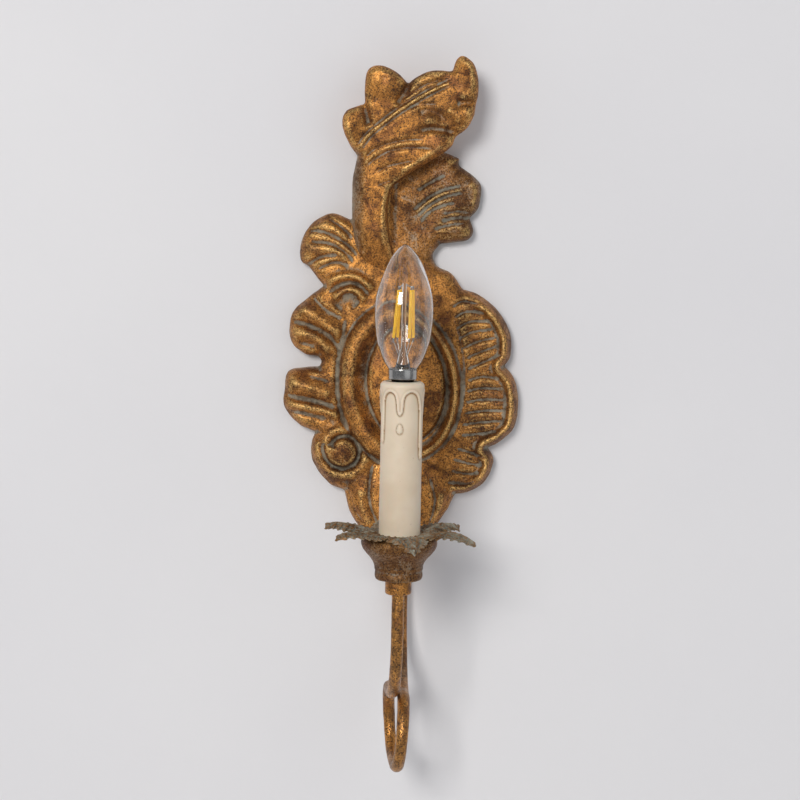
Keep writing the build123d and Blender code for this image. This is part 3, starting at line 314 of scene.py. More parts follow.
def stroke_relief(x, z, strokes):
    """The height that a list of (kind, depth, half width, points) strokes adds at each place."""
    relief = np.zeros(len(x))
    for kind, depth, half_width, points in strokes:
        near, gap, along = near_stroke(x, z, points, 5 * half_width)
        fade = smoothstep(0, 0.16, along) * smoothstep(0, 0.16, 1 - along)
        band = np.exp(-((gap / half_width) ** 2))
        if kind == "gouge":
            cut = -depth * band
        elif kind == "ridge":
            cut = depth * band
        else:
            beside = np.exp(-(((gap - 2.1 * half_width) / (0.8 * half_width)) ** 2))
            cut = depth * (band - 0.9 * beside)
        relief[near] += cut * fade
    return relief


def fan(first, last, count):
    """Lines spread evenly between a first and a last one, both given by the same number of points."""
    lines = []
    for i in range(count):
        t = i / (count - 1)
        lines.append([(a[0] + (b[0] - a[0]) * t, a[1] + (b[1] - a[1]) * t) for a, b in zip(first, last)])
    return lines


def oval_reach(x, z, centre, half, lean):
    """How far out each place is in an oval's own measure, 1 on its line, and in mm from that line."""
    turn = math.radians(lean)
    dx, dz = x - centre[0], z - centre[1]
    across = dx * math.cos(turn) + dz * math.sin(turn)
    up = -dx * math.sin(turn) + dz * math.cos(turn)
    reach = np.sqrt((across / half[0]) ** 2 + (up / half[1]) ** 2) + 1e-6
    return reach, (1 - 1 / reach) * np.sqrt(dx**2 + dz**2)


# %% [markdown]
# ## The strokes of the big board
# They are grouped by lobe, so that one can be recut without touching its neighbours.

# %% Strokes on the left side
UPPER_LOBE = [
    ("gouge", 2.1, 1.3, [(-74, 88), (-66.5, 92.5), (-57, 95), (-45, 91.5), (-35.5, 85), (-29, 77)]),
    ("gouge", 1.9, 1.3, [(-62.5, 88), (-49, 87), (-38.5, 81.5), (-32, 74)]),
    ("gouge", 1.9, 1.3, [(-55, 107), (-47, 101.5), (-40, 96.5), (-33, 89.5)]),
    ("gouge", 2, 1.4, [(-68, 68), (-60.5, 74.5), (-53, 78.5), (-42, 80)]),
    ("gouge", 1.7, 1.2, [(-57, 70), (-45, 75), (-35, 72.5)]),
    ("ridge", 1.6, 3.6, [(-66, 84), (-56, 83.5), (-44, 83), (-35, 77)]),
    ("ridge", 1.2, 3, [(-58, 100), (-46, 96.5), (-36, 89)]),
]
SCROLL_ARCH = [
    ("ridge", 4, 3, [(-54, 56), (-47, 63), (-38, 66.5), (-28.5, 65), (-19, 56)]),
    ("gouge", 2.6, 1.3, [(-49.5, 55), (-38.5, 61.6), (-29, 60.6), (-21.5, 53.5)]),
    ("ridge", 2.6, 2.3, [(-46, 50.5), (-38.5, 57.2), (-31, 56.6), (-24.5, 49.5)]),
    ("gouge", 2.2, 4.2, [(-44, 44), (-36, 50.5), (-29, 46.5)]),
]
MIDDLE_LOBE = [
    ("ridge", 3, 4, [(-76, 50), (-62, 43.5), (-48, 34), (-37.5, 26)]),
    ("gouge", 3.2, 2.1, [(-82, 35.5), (-70, 36), (-58, 33), (-47, 26.5), (-39.5, 16)]),
    ("ridge", 2.4, 3.2, [(-80, 28.5), (-68, 29.5), (-56, 26), (-46, 15)]),
    ("gouge", 1.4, 2, [(-74, 20.5), (-65, 22), (-56, 20)]),
    ("gouge", 1.6, 1.6, [(-60, 54), (-50.5, 44.5), (-38, 38)]),
]
LOWER_LOBE = [
    ("ridge", 3, 4.6, [(-80, -2.5), (-67, -4), (-56, -7), (-44, -11)]),
    ("gouge", 2.6, 2.2, [(-84, -8.5), (-70, -12.5), (-55, -15), (-40, -20)]),
    ("ridge", 2.2, 2.6, [(-78, -16), (-62, -18.5), (-50, -20.5), (-38.5, -25)]),
    ("gouge", 1.6, 2, [(-78, -21.5), (-64, -23), (-47.5, -27)]),
    ("gouge", 1.2, 1.6, [(-70, 4.5), (-58, 1), (-46, -2.5)]),
]
BESIDE_RING = [
    ("gouge", 2.4, 2, [(-36.5, 44), (-39, 30), (-41.2, 15), (-41.6, -4), (-38.5, -25), (-29, -43)]),
    ("gouge", 2.2, 1.7, [(-31, -40), (-21, -49), (-12, -55)]),
    ("gouge", 1.2, 1.5, [(30, 46), (36, 30), (39.5, 10), (39, -12), (33.5, -34), (22, -50)]),
]

# %% Strokes on the second leaf, the foot and the shells
SECOND_LEAF = [
    ("gouge", 1.5, 1.15, [(6.5, 121.5), (15, 127), (25.5, 132.5)]),
    ("rib", 1.3, 1.1, [(5, 106.5), (14.5, 115), (24.5, 120.5), (37, 123.5)]),
    ("gouge", 1.4, 1, [(9, 101), (14, 107.5), (21.5, 112), (32, 115)]),
    ("gouge", 1.3, 1.2, [(17, 97), (28.5, 100.5), (40, 102)]),
    ("gouge", 1.1, 1.1, [(22.5, 107), (33.5, 109), (43, 107.5)]),
    ("ridge", 1.3, 3, [(40.5, 129), (44.5, 121), (43, 112)]),
    ("gouge", 2, 1.8, [(42, 104.8), (32, 104.8), (22, 102.5)]),
]
FOOT = [
    ("gouge", 1.7, 1.3, [(-17.5, -52.5), (-20, -68), (-19, -82), (-13, -96)]),
    ("gouge", 1.5, 1.2, [(-33, -71), (-31, -82), (-23.5, -94)]),
    ("ridge", 1.6, 2.6, [(-25.5, -70), (-25, -82), (-18.5, -96)]),
    ("gouge", 1.7, 1.3, [(18, -60), (22.5, -76), (20.5, -90), (13.5, -103)]),
    ("gouge", 1.5, 1.2, [(33, -73), (27, -86), (19, -99)]),
    ("ridge", 1.6, 2.6, [(28, -70), (25, -84), (18, -98)]),
    ("gouge", 1.6, 1.3, [(-6, -66), (-7.5, -85), (-4, -104)]),
    ("gouge", 1.6, 1.3, [(8, -66), (9, -85), (4, -104)]),
]
SHELL_GROOVES = []
for first, last, count in [
    ([(30, 47), (38, 51.5), (50.5, 49.5)], [(41, 7.5), (52, 12.5), (62.5, 18.5)], 7),
    ([(41, 0), (51, 3), (64, 2)], [(38, -35.5), (51, -34), (63, -32)], 6),
    ([(35.5, -43.5), (47, -47), (55, -50)], [(29.5, -65.5), (41, -67), (49, -64)], 4),
]:
    for i, line in enumerate(fan(first, last, count)):
        bulge = 4.0 * math.sin(math.pi * i / (count - 1)) if count == 6 else 1.5
        line[-1] = (line[-1][0] + bulge, line[-1][1])
        SHELL_GROOVES.append(("gouge", 1.8, 0.95, line))
STROKES = UPPER_LOBE + SCROLL_ARCH + MIDDLE_LOBE + LOWER_LOBE + BESIDE_RING + SECOND_LEAF + FOOT
STROKES += SHELL_GROOVES
print("strokes on the board:", len(STROKES))


# %% [markdown]
# ## Relief of the board
# The relief adds up as the carver roughs it out: pillowy lobes that fall towards the sawn edge, the
# oval ring with its dome, the shells' bead, the snail scroll and the tall stem, and last the fine
# strokes and the softened edge.

# %% Height of the board's front
EDGE_OUT = 8.5  # where the rounded front meets the sawn side
LOWEST_OUT, PILLOW_RISE, PILLOW_WIDTH = 11.0, 6.8, 13
EYE = (-37.5, -46.5)  # of the snail scroll


RING = ((0, -3), (33.5, 46), 8)  # centre, half size and lean in degrees
DOME = ((2.5, -2.5), (25.5, 37.5), 6)
RING_OUT, HOLLOW_OUT = 25.0, 17.0
DOME_RISE = 5.0


def rounded(edge, width):
    """A quarter-round rise from 0 at the edge to 1 at the given width inside it."""
    return np.sqrt(np.clip(1 - (1 - np.clip(edge / width, 0, 1)) ** 2, 0, 1))


def medallion_relief(x, z, ground):
    """A broad rounded ring with a hollow and a low dome inside it, wider on the left."""
    _, past_ring = oval_reach(x, z, *RING)
    left = smoothstep(14, -14, x)
    outer = 4.2 + 4.2 * left
    inner = 4.8 + 4.6 * left
    fall_out = np.clip(past_ring / outer, 0, 1)
    fall_in = np.clip(-past_ring / inner, 0, 1)
    outside = ground + (RING_OUT - ground) * np.clip(1 - fall_out**2.2, 0, 1) ** 0.75
    inside = HOLLOW_OUT + (RING_OUT - HOLLOW_OUT) * (0.5 + 0.5 * np.cos(np.pi * fall_in)) ** 0.9
    reach, past_groove = oval_reach(x, z, *DOME)
    dome = HOLLOW_OUT + 0.8 + DOME_RISE * np.sqrt(np.clip(1 - reach**2.6, 0, 1))
    inside = np.where(past_groove < 0, np.maximum(inside, dome), inside)
    inside -= 1.5 * np.exp(-((past_groove / 0.9) ** 2))
    return np.where(past_ring > 0, outside, inside), past_ring


def scroll_relief(x, z, ground):
    """The snail: an eye, and a band that winds once round it."""
    dx, dz = x - EYE[0], z - EYE[1]
    radius = np.sqrt(dx**2 + dz**2) + 1e-6
    turn = (math.radians(160) - np.arctan2(dz, dx)) % (2 * math.pi) / (2 * math.pi)
    cut_at = 7.6 + 4.6 * turn
    eye = 5.6 * np.sqrt(np.clip(1 - (radius / (cut_at + 0.8)) ** 2, 0, 1))
    groove = -3.2 * np.exp(-(((radius - cut_at - 0.6) / 1.3) ** 2)) * smoothstep(1, 0.85, turn)
    band = 3.0 * np.exp(-(((radius - cut_at - 5.5) / 3.6) ** 2))
    return ground + (np.where(radius < cut_at + 0.8, eye, 0) + band + groove) * smoothstep(24, 18, radius)


def board_height(x, z):
    edge = inside_distance(x, z, board_line)
    height = LOWEST_OUT + PILLOW_RISE * rounded(edge, PILLOW_WIDTH)
    # the second leaf is hollow near the stem and its rim stands proud
    leaf = smoothstep(70, 108, z) * smoothstep(-12, -6, x)
    height -= leaf * (3.4 * smoothstep(32, 2, x) + 0.6)
    # shells: a rounded bead inside the edge and a sunken field for the grooves
    shell = smoothstep(34, 44, x - 0.10 * (z + 5)) * smoothstep(62, 55, z) * smoothstep(-76, -70, z)
    bead = 3.2 * np.exp(-(((edge - 4.6) / 2.7) ** 2))
    sunk = -1.8 * smoothstep(6.5, 9.5, edge)
    height += shell * (bead + sunk)
    # the foot is one long swelling
    height += 3.0 * smoothstep(-52, -70, z) * np.sqrt(np.clip(1 - (x / 34) ** 2, 0, 1))
    height = scroll_relief(x, z, height)
    ring, past_ring = medallion_relief(x, z, height)
    near_ring = np.where(past_ring > 0, np.maximum(height, ring), ring)
    return np.where(past_ring < 9, near_ring, height), edge


# %% [markdown]
# ## Cutting the board
# Every point keeps its X and Z and moves out or in, in proportion to its depth in the blank, so the
# back stays flat on the wall. A light smoothing then takes off the corners, as gesso does, and a
# fine cloud displacement leaves the skin slightly uneven.

# %% Carve the board
def weather(obj, name, amount, size):
    """Uneven skin: points move along their normals by soft noise."""
    texture = bpy.data.textures.new(name, "CLOUDS")
    texture.noise_scale = size * MM
    texture.noise_depth = 2
    apply_modifier(obj, "DISPLACE", texture=texture, strength=amount * MM, texture_coords="LOCAL")


BLANK_OUT = 20.0
EDGE_ROUNDING = 4.6
board = blank("carved_board", board_line, 0, BLANK_OUT)
points = read_points(board)
x, z = points[:, 0], points[:, 2]
height, edge = board_height(x, z)
height = EDGE_OUT + (height - EDGE_OUT) * rounded(edge, EDGE_ROUNDING)
height += stroke_relief(x, z, STROKES) * (0.45 + 0.55 * smoothstep(0, 4, edge))
points[:, 1] = points[:, 1] / BLANK_OUT * height
write_points(board, points)
apply_modifier(board, "SMOOTH", factor=0.5, iterations=2)
weather(board, "gesso", 0.55, 5)
print("board carved:", len(board.data.vertices), "points")


# %% [markdown]
# ## The recesses in the back
# The back is hollowed for the wiring, the hanging plates and the arm. The frame's own nodes say
# where those pieces lie, and boxes round them are cut away with the Boolean modifier.

# %% Hollow out the back
def cutter(x_from, x_to, out_from, out_to, z_from, z_to):
    bpy.ops.object.select_all(action="DESELECT")
    centre = place((x_from + x_to) / 2, (out_from + out_to) / 2, (z_from + z_to) / 2)
    bpy.ops.mesh.primitive_cube_add(size=1, location=centre)
    box = bpy.context.object
    box.scale = mm(x_to - x_from, out_to - out_from, z_to - z_from)
    apply_place(box)
    return box


BEHIND = -30.0  # every cutter starts behind the wall plane
RECESS_DEPTH = 12.0
cutters = [cutter(-17, 17, BEHIND, RECESS_DEPTH, -61, 15), cutter(-35, 35, BEHIND, 3, -18, 9)]
for plate in ("keyhole_plate_left", "keyhole_plate_right"):
    lo, hi = node_box(plate)
    cutters.append(cutter(lo[0] - 1, hi[0] + 1, BEHIND, -lo[1], lo[2] - 1, hi[2] + 1))
    middle = (lo[0] + hi[0]) / 2
    cutters.append(cutter(middle - 5.5, middle + 5.5, BEHIND, 9.1, -14.5, 5.5))
strap_lo, strap_hi = node_box("arm_strap")
cutters.append(
    cutter(strap_lo[0] - 1, strap_hi[0] + 1, BEHIND, -strap_lo[1], strap_lo[2] - 1, strap_hi[2] + 1)
)
cutters.append(cutter(-1.8, 6.8, BEHIND, 13.8, -140, -46.5))
tool = cutters[0]
for other in cutters[1:]:
    apply_modifier(tool, "BOOLEAN", operation="UNION", solver="EXACT", object=other)
    bpy.data.objects.remove(other)
apply_modifier(board, "BOOLEAN", operation="DIFFERENCE", solver="EXACT", object=tool)
bpy.data.objects.remove(tool)
print("recesses cut:", len(cutters))


# %% Level the back and thin its flat faces out
def level_back(obj, out):
    """Flatten whatever lies within a hair of the back plane and dissolve its many flat faces."""
    pts = read_points(obj)
    close = pts[:, 1] < out + 0.45
    pts[close, 1] = out
    write_points(obj, pts)
    pick(obj)
    bpy.ops.object.mode_set(mode="EDIT")
    bpy.ops.mesh.select_all(action="DESELECT")
    bpy.ops.object.mode_set(mode="OBJECT")
    flat = np.zeros(len(obj.data.polygons), bool)
    for i, face in enumerate(obj.data.polygons):
        flat[i] = face.normal.y > 0.999
    obj.data.polygons.foreach_set("select", flat)
    bpy.ops.object.mode_set(mode="EDIT")
    bpy.ops.mesh.select_mode(type="FACE")
    bpy.ops.mesh.dissolve_limited(angle_limit=math.radians(0.5))
    bpy.ops.mesh.select_all(action="SELECT")
    bpy.ops.mesh.quads_convert_to_tris()
    bpy.ops.object.mode_set(mode="OBJECT")


level_back(board, 0)
print("board after levelling:", len(board.data.polygons), "faces")


# %% [markdown]
# ## Where the gold is worn, where the dirt sits and where light and shade are painted
# Gilding rubs off on high spots and patina stays in hollows. The mesh itself knows both: smoothing a
# copy of the points and looking how far each has moved against its normal tells a hollow from a
# ridge. The result is kept in attributes that the gilding reads. The ridge mark also paints highlights
# on ridges that face out, and the wash carried with the hollows also paints sheen and shade on the
# board and crest. A third mark darkens places: painted shade on the board's second leaf and
# right-hand shells, and a darker tone elsewhere.

# %% Write the hollow, rub and umber attributes, with painted highlight, sheen and shade in them
def mark_relief(obj, rounds=7, full=0.36, side_wash=0, side_rub=1, wash_and_painted_light=0, share=1, umber_and_shade=0):
    """Measure hollows and ridges by smoothing the points, and keep both as attributes. Ridges that face out
    get brighter gold, polish and painted highlight at once; a flat carving's sawn sides get grey wash
    instead.
    The wash given for the whole piece also paints sheen and shade on the board and crest, and the
    darkening given is partly painted shade."""
    data = obj.data
    count = len(data.vertices)
    pts = np.empty(count * 3)
    data.vertices.foreach_get("co", pts)
    pts = pts.reshape(-1, 3)
    normals = np.empty(count * 3)
    data.vertex_normals.foreach_get("vector", normals)
    normals = normals.reshape(-1, 3)
    ends = np.empty(len(data.edges) * 2, int)
    data.edges.foreach_get("vertices", ends)
    a, b = ends.reshape(-1, 2).T
    degree = np.bincount(np.concatenate([a, b]), minlength=count)
    moved = pts.copy()
    for _ in range(rounds):
        total = np.zeros_like(moved)
        for axis in range(3):
            total[:, axis] = np.bincount(a, moved[b, axis], count) + np.bincount(b, moved[a, axis], count)
        moved = 0.4 * moved + 0.6 * total / degree[:, None]
    height = ((moved - pts) * normals).sum(axis=1) / MM / full
    faces_out = -normals[:, 1]
    # Ridges that face out get brighter gold: polish on the high spots and a painted highlight.
    rub = np.clip(-height, 0, 1) * smoothstep(0.2, 0.85, faces_out + side_rub)
    # The wash given for the piece: grey wash, which on the board and crest also paints sheen and shade.
    total_wash_and_painted_light = wash_and_painted_light + side_wash * smoothstep(0.55, 0.15, faces_out)
    hollow = np.clip(np.maximum(height, 0) * share + total_wash_and_painted_light, 0, 1)
    for name, values in (("hollow", hollow), ("rub", rub), ("umber_and_shade", umber_and_shade + np.zeros(count))):
        attribute = data.attributes.new(name, "FLOAT", "POINT")
        attribute.data.foreach_set("value", values.astype(np.float32))


CARVED_SIDES = {"side_wash": 0.42, "side_rub": 0, "share": 0.85}
points = read_points(board)
x, z = points[:, 0], points[:, 2]
# Grey wash: dust specks on the second leaf with painted shade there, painted sheen on the left lobes where
# the light falls from the left, and painted shade on the right-hand shells.
dust_sheen_and_shade = 0.3 * smoothstep(-10, 2, x) * smoothstep(55, 85, z)
dust_sheen_and_shade += 0.16 * smoothstep(-22, -40, x) + 0.08 * smoothstep(30, 45, x) * smoothstep(60, 50, z)
# Painted shade: darker on the second leaf under the crest and on the shells on the right, away from the
# light.
umber_and_shade = 0.5 * smoothstep(-10, 4, x) * smoothstep(72, 98, z)
umber_and_shade += 0.22 * smoothstep(28, 45, x) * smoothstep(60, 50, z)
mark_relief(board, wash_and_painted_light=dust_sheen_and_shade, umber_and_shade=umber_and_shade, **CARVED_SIDES)

# %% [markdown]
# ## The crest leaf
# The big leaf at the top is the frame's boldest carving: it stands on the stem and hangs over the
# board with air behind it. It is carved from its own blank, with a back surface as well as a
# front one. Its lobes roll over at the rim and dip towards a raised midrib.

# %% Strokes on the crest leaf
CREST = [
    ("rib", 1.2, 0.95, [(-33, 143), (-26, 154), (-18, 161.5), (-3, 173), (15, 184), (30, 191)]),
    ("gouge", 1.1, 1, [(-1, 172), (8.5, 175.5), (19.5, 175.5)]),
    ("gouge", 1.1, 0.9, [(-3, 179), (9, 186.5), (21, 191.5)]),
    ("gouge", 1.3, 1.1, [(-28.5, 133.5), (-19.5, 141.5), (-7.5, 147), (8, 148.5), (19.5, 147)]),
    ("gouge", 1.2, 0.95, [(-29.5, 138), (-22, 146), (-13, 150.3), (-1, 153), (12, 153.5)]),
    ("gouge", 1.1, 1, [(-21, 131.5), (-12, 136.5), (-2, 139), (7, 140.5)]),
    ("gouge", 1, 0.9, [(-19, 124), (-13, 126.5), (-8, 127)]),
    ("gouge", 2.6, 2.3, [(-31, 180), (-27, 172), (-24.5, 160.5)]),
    ("gouge", 3, 2.6, [(2, 194), (-1.5, 184), (-7.5, 174)]),
    ("gouge", 0.7, 2, [(-22, 174), (-17.5, 186), (-13.5, 194)]),
    ("gouge", 1.4, 3.6, [(27, 204), (24.5, 193.5), (17, 186)]),
    ("gouge", 1.7, 2.4, [(48, 174), (38, 176.5), (29, 176.5)]),
    ("gouge", 2.6, 2.4, [(38, 155), (26, 159), (15, 160.5), (5, 158.5)]),
    ("ridge", 2.2, 4.4, [(37, 206), (40, 194.5), (38, 184), (30, 177)]),
    ("gouge", 1.5, 2.7, [(5.5, 169.5), (13, 171.5), (20.5, 168.5), (22.5, 162.5)]),
    ("ridge", 1.6, 3, [(24, 173.5), (30, 168.5), (31.5, 163)]),
    ("ridge", 1.6, 3.4, [(-6, 130.5), (4, 137.5), (14, 144.5), (24, 150.5)]),
    ("ridge", 1, 1.8, [(-14, 84), (-14.8, 96), (-14.6, 110), (-12.5, 121)]),
]
CREST_SWELLINGS = [  # centre, radius and rise of the rounded lobes and pits
    ((-37, 161), 8, 2.8), ((-15.5, 189.5), 10.5, 3.4), ((37, 170), 6, 3), ((20, 151.5), 7.5, 1.8),
    ((-2, 160.5), 13, 1.2), ((13, 165), 4.5, 1.2), ((-24, 150), 7, -1),
]


def bump(x, z, centre, radius, rise):
    return rise * np.exp(-(((x - centre[0]) ** 2 + (z - centre[1]) ** 2) / radius**2))


# %% Carve the crest leaf
def crest_front(x, z):
    """Rises from the board as the stem, leans out, and opens into the leaf."""
    stem = 15.0 + 14.5 * smoothstep(60, 98, z) + 1.5 * smoothstep(98, 140, z)
    stem -= 0.20 * np.clip(-13 - x, 0, 25) * smoothstep(150, 135, z)
    leaf = np.maximum(0.05 * (x + 30) + 0.055 * (z - 140), 0) * smoothstep(120, 145, z)
    height = stem + leaf
    for centre, radius, rise in CREST_SWELLINGS:
        height += bump(x, z, centre, radius, rise)
    return height


def crest_back(x, z):
    """Flat inside the board, higher up on the left, and thinner where the leaf is free."""
    joined = z - 16 * smoothstep(-14, -30, x)
    away = np.hypot(x + 18, z - 140) * smoothstep(122, 134, z)
    return 7.5 + 9.5 * smoothstep(120, 132, joined) + 8.0 * smoothstep(22, 60, away)


crest = blank("crest_leaf", crest_line, 0, BLANK_OUT)
points = read_points(crest)
x, z = points[:, 0], points[:, 2]
edge = inside_distance(x, z, crest_line)
left_side = smoothstep(-20, -30, x) * smoothstep(152, 138, z)
drop = 4.6 + 7.4 * left_side
front = crest_front(x, z) - drop * (1 - rounded(edge, 4.4 + 4.6 * left_side))
front += stroke_relief(x, z, CREST) * (0.4 + 0.6 * smoothstep(0, 4, edge))
back = crest_back(x, z)
tuck = 2.2 * (1 - rounded(edge, 3)) * smoothstep(128, 140, z)
back = np.minimum(back + tuck, front - 2)
points[:, 1] = back + (front - back) * points[:, 1] / BLANK_OUT
write_points(crest, points)
apply_modifier(crest, "SMOOTH", factor=0.5, iterations=2)
weather(crest, "gesso_crest", 0.5, 6)
# Grey wash on the stem's left side: a dusty haze together with painted sheen from the light on the left; it
# also darkens that side a little.
dust_and_sheen = 0.5 * smoothstep(-21, -32, x) * smoothstep(156, 138, z)
# The leaf is also darker round its upper middle.
umber_and_shade = 0.5 * np.exp(-((x - 12) ** 2 + (z - 184) ** 2) / 20**2) + 0.4 * dust_and_sheen
mark_relief(crest, side_wash=0.15, side_rub=0, wash_and_painted_light=dust_and_sheen, share=0.62, umber_and_shade=umber_and_shade)
print("crest carved:", len(crest.data.vertices), "points")

# %% Block that joins the crest to the board
root_line = np.array([(-14 + 19 * math.cos(a) * 0.82 - 12 * math.sin(a) * 0.57,
                       158 + 19 * math.cos(a) * 0.57 + 12 * math.sin(a) * 0.82)
                      for a in np.linspace(0, 2 * math.pi, 72, endpoint=False)])
root = blank("crest_root", root_line, 0, BLANK_OUT)
points = read_points(root)
points[:, 1] = 0.5 + points[:, 1] * 18.5 / BLANK_OUT
write_points(root, points)
apply_modifier(root, "SMOOTH", factor=0.5, iterations=2)
level_back(root, 0.5)
mark_relief(root, **CARVED_SIDES)


# %% [markdown]
# ## A shared gilding group
# Old gilding is several coats: dark umber size, worn gold leaf, brighter gold where a cloth has polished
# it, reddish bole where it wore through, and a grey-green wash that stays in the cuts. The brighter gold
# also stands for painted highlights on ridges that face out, the umber also paints shade, and the wash also
# paints sheen and shade on the board and crest.
# One node group mixes them from the attributes and noises at several scales, and every gilt piece
# places it with its own values.

# %% Node helpers
def rgb(r, g, b):
    """A colour given as it looks, from 0 to 255, in the linear form that nodes take."""
    def linear(v):
        v /= 255
        return v / 12.92 if v <= 0.04045 else ((v + 0.055) / 1.055) ** 2.4
    return (linear(r), linear(g), linear(b), 1)


class Nodes:
    """Adds nodes to a tree and links them, so that a material reads from top to bottom."""

    def __init__(self, tree):
        self.tree = tree

    def feed(self, socket, value):
        if isinstance(value, bpy.types.NodeSocket):
            self.tree.links.new(value, socket)
        else:
            socket.default_value = value

    def add(self, kind, inputs=None, **settings):
        node = self.tree.nodes.new(kind)
        for name, value in settings.items():
            setattr(node, name, value)
        for name, value in (inputs or {}).items():
            self.feed(node.inputs[name], value)
        return node

    def mix(self, factor, a, b):
        node = self.add("ShaderNodeMix", data_type="RGBA", clamp_factor=True)
        self.feed(node.inputs[0], factor)
        self.feed(node.inputs[6], a)
        self.feed(node.inputs[7], b)
        return node.outputs[2]

    def math(self, operation, a, b, clamp=False):
        node = self.add("ShaderNodeMath", operation=operation, use_clamp=clamp)
        self.feed(node.inputs[0], a)
        self.feed(node.inputs[1], b)
        return node.outputs[0]

    def sway(self, value, amount):
        """A swing of the given size about nothing, from a noise between 0 and 1."""
        return self.math("MULTIPLY", self.math("SUBTRACT", value, 0.5), amount)

    def spot(self):
        """The place on the object, to lay noise on."""
        return self.add("ShaderNodeTexCoord").outputs["Object"]

    def mark(self, name):
        """An attribute kept on the mesh's points."""
        return self.add("ShaderNodeAttribute", attribute_name=name).outputs["Fac"]

    def noise(self, vector, scale, detail=3, rough=0.55, distortion=0):
        node = self.add("ShaderNodeTexNoise")
        for name, value in (("Vector", vector), ("Scale", scale), ("Detail", detail),
                            ("Roughness", rough), ("Distortion", distortion)):
            self.feed(node.inputs[name], value)
        return node.outputs["Fac"]

    def spread(self, value, low, high, to_low=0, to_high=1):
        """Stretch a range smoothly to another one."""
        node = self.add("ShaderNodeMapRange", interpolation_type="SMOOTHSTEP")
        for i, item in enumerate((value, low, high, to_low, to_high)):
            self.feed(node.inputs[i], item)
        return node.outputs[0]


def new_group(name, inputs, outputs):
    """An empty node group with named sockets, and its two end nodes."""
    group = bpy.data.node_groups.new(name, "ShaderNodeTree")
    for socket_name, kind, default in inputs:
        socket = group.interface.new_socket(socket_name, in_out="INPUT", socket_type="NodeSocket" + kind)
        socket.default_value = default
    for socket_name, kind in outputs:
        group.interface.new_socket(socket_name, in_out="OUTPUT", socket_type="NodeSocket" + kind)
    nodes = Nodes(group)
    return group, nodes, nodes.add("NodeGroupInput").outputs, nodes.add("NodeGroupOutput")


def new_material(name, **settings):
    """A material with a Principled shader whose even values are set on its own sockets."""
    material = bpy.data.materials.new(name)
    material.use_nodes = True
    material.node_tree.nodes.clear()
    nodes = Nodes(material.node_tree)
    shader = nodes.add("ShaderNodeBsdfPrincipled")
    out = nodes.add("ShaderNodeOutputMaterial")
    nodes.tree.links.new(shader.outputs["BSDF"], out.inputs["Surface"])
    for socket_name, value in settings.items():
        shader.inputs[socket_name.replace("_", " ")].default_value = value
    return material, nodes, shader


def place_group(nodes, group, **values):
    node = nodes.add("ShaderNodeGroup", node_tree=group)
    for name, value in values.items():
        nodes.feed(node.inputs[name.replace("_", " ")], value)
    return node


def bump_from(nodes, shader, height, distance):
    """Feed a height, at a distance in metres, through a Bump node to the shader's normal."""
    node = nodes.add("ShaderNodeBump", {"Height": height, "Distance": distance, "Strength": 1})
    nodes.feed(shader.inputs["Normal"], node.outputs["Normal"])


# %% Build the gilding group
gilding, g, g_in, g_out = new_group(
    "gilding",
    [("Hollow", "Float", 0), ("Rub", "Float", 0), ("Wear", "Float", 0.5), ("Verdigris", "Float", 0.5),
     ("Bole", "Float", 0.4), ("Brightness", "Float", 1), ("Shade", "Float", 0)],
    [("Color", "Color"), ("Roughness", "Float"), ("Metallic", "Float"), ("Height", "Float")],
)
spot = g.spot()
broad = g.noise(spot, 38, 4, 0.6, 0.4)
patch = g.noise(spot, 110, 4, 0.65, 0.6)
grain = g.noise(spot, 920, 3, 0.75)
speck = g.noise(spot, 2100, 2, 0.6)
tone = g.math("ADD", g.math("MULTIPLY", broad, 0.45), g.math("MULTIPLY", patch, 0.55))
gold = g.mix(g.spread(tone, 0.36, 0.60), rgb(106, 64, 31), rgb(220, 151, 72))
# Shade darkens the gold towards umber brown: a darker tone of the piece, and painted shade where the mesh
# marks it.
gold = g.mix(g_in["Shade"], gold, rgb(82, 50, 24))
# Brighter pale gold on ridges that face out: polish on the high spots and a painted highlight.
shine = g.spread(g.math("ADD", g_in["Rub"], g.sway(grain, 2.2)), 0.25, 1.55)
gold = g.mix(g.math("MULTIPLY", shine, g_in["Brightness"]), gold, rgb(250, 206, 128))
bole_mask = g.math("MULTIPLY", g.spread(g.noise(spot, 75, 3, 0.6), 0.52, 0.68), g_in["Bole"])
gold = g.mix(bole_mask, gold, rgb(124, 76, 48))
peppered = g.spread(g.math("ADD", grain, g.sway(speck, 0.9)), 0.50, 0.40)
peppered = g.math("MULTIPLY", peppered, g_in["Wear"])
gold = g.mix(peppered, gold, rgb(44, 28, 16))
# Grey-green wash in the hollows, a patina; on the board and crest it also paints sheen and shade.
wash = g.math("ADD", g.math("MULTIPLY", g_in["Hollow"], 1.5), g.sway(patch, 1.5))
wash = g.spread(g.math("ADD", wash, g.sway(grain, 2.8)), 0.42, 1.35)
wash = g.math("MULTIPLY", wash, g_in["Verdigris"], clamp=True)
wash_color = g.mix(g.spread(patch, 0.35, 0.65), rgb(84, 80, 68), rgb(146, 146, 132))
color = g.mix(wash, gold, wash_color)
rough = g.spread(g.math("ADD", tone, g.sway(grain, 0.6)), 0.3, 0.7, 0.56, 0.40)
rough = g.math("ADD", rough, g.math("MULTIPLY", wash, 0.28))
rough = g.math("ADD", rough, g.math("MULTIPLY", peppered, 0.12), clamp=True)
metal = g.math("MULTIPLY", g.math("SUBTRACT", 1, g.math("MULTIPLY", wash, 0.85)), 0.78)
metal = g.math("MULTIPLY", metal, g.math("SUBTRACT", 1, g.math("MULTIPLY", peppered, 0.5)))
relief = g.math("ADD", g.math("MULTIPLY", grain, 0.6), g.math("MULTIPLY", speck, 0.4))
for name, value in (("Color", color), ("Roughness", rough), ("Metallic", metal), ("Height", relief)):
    g.feed(g_out.inputs[name], value)
print("gilding group:", len(gilding.nodes), "nodes")


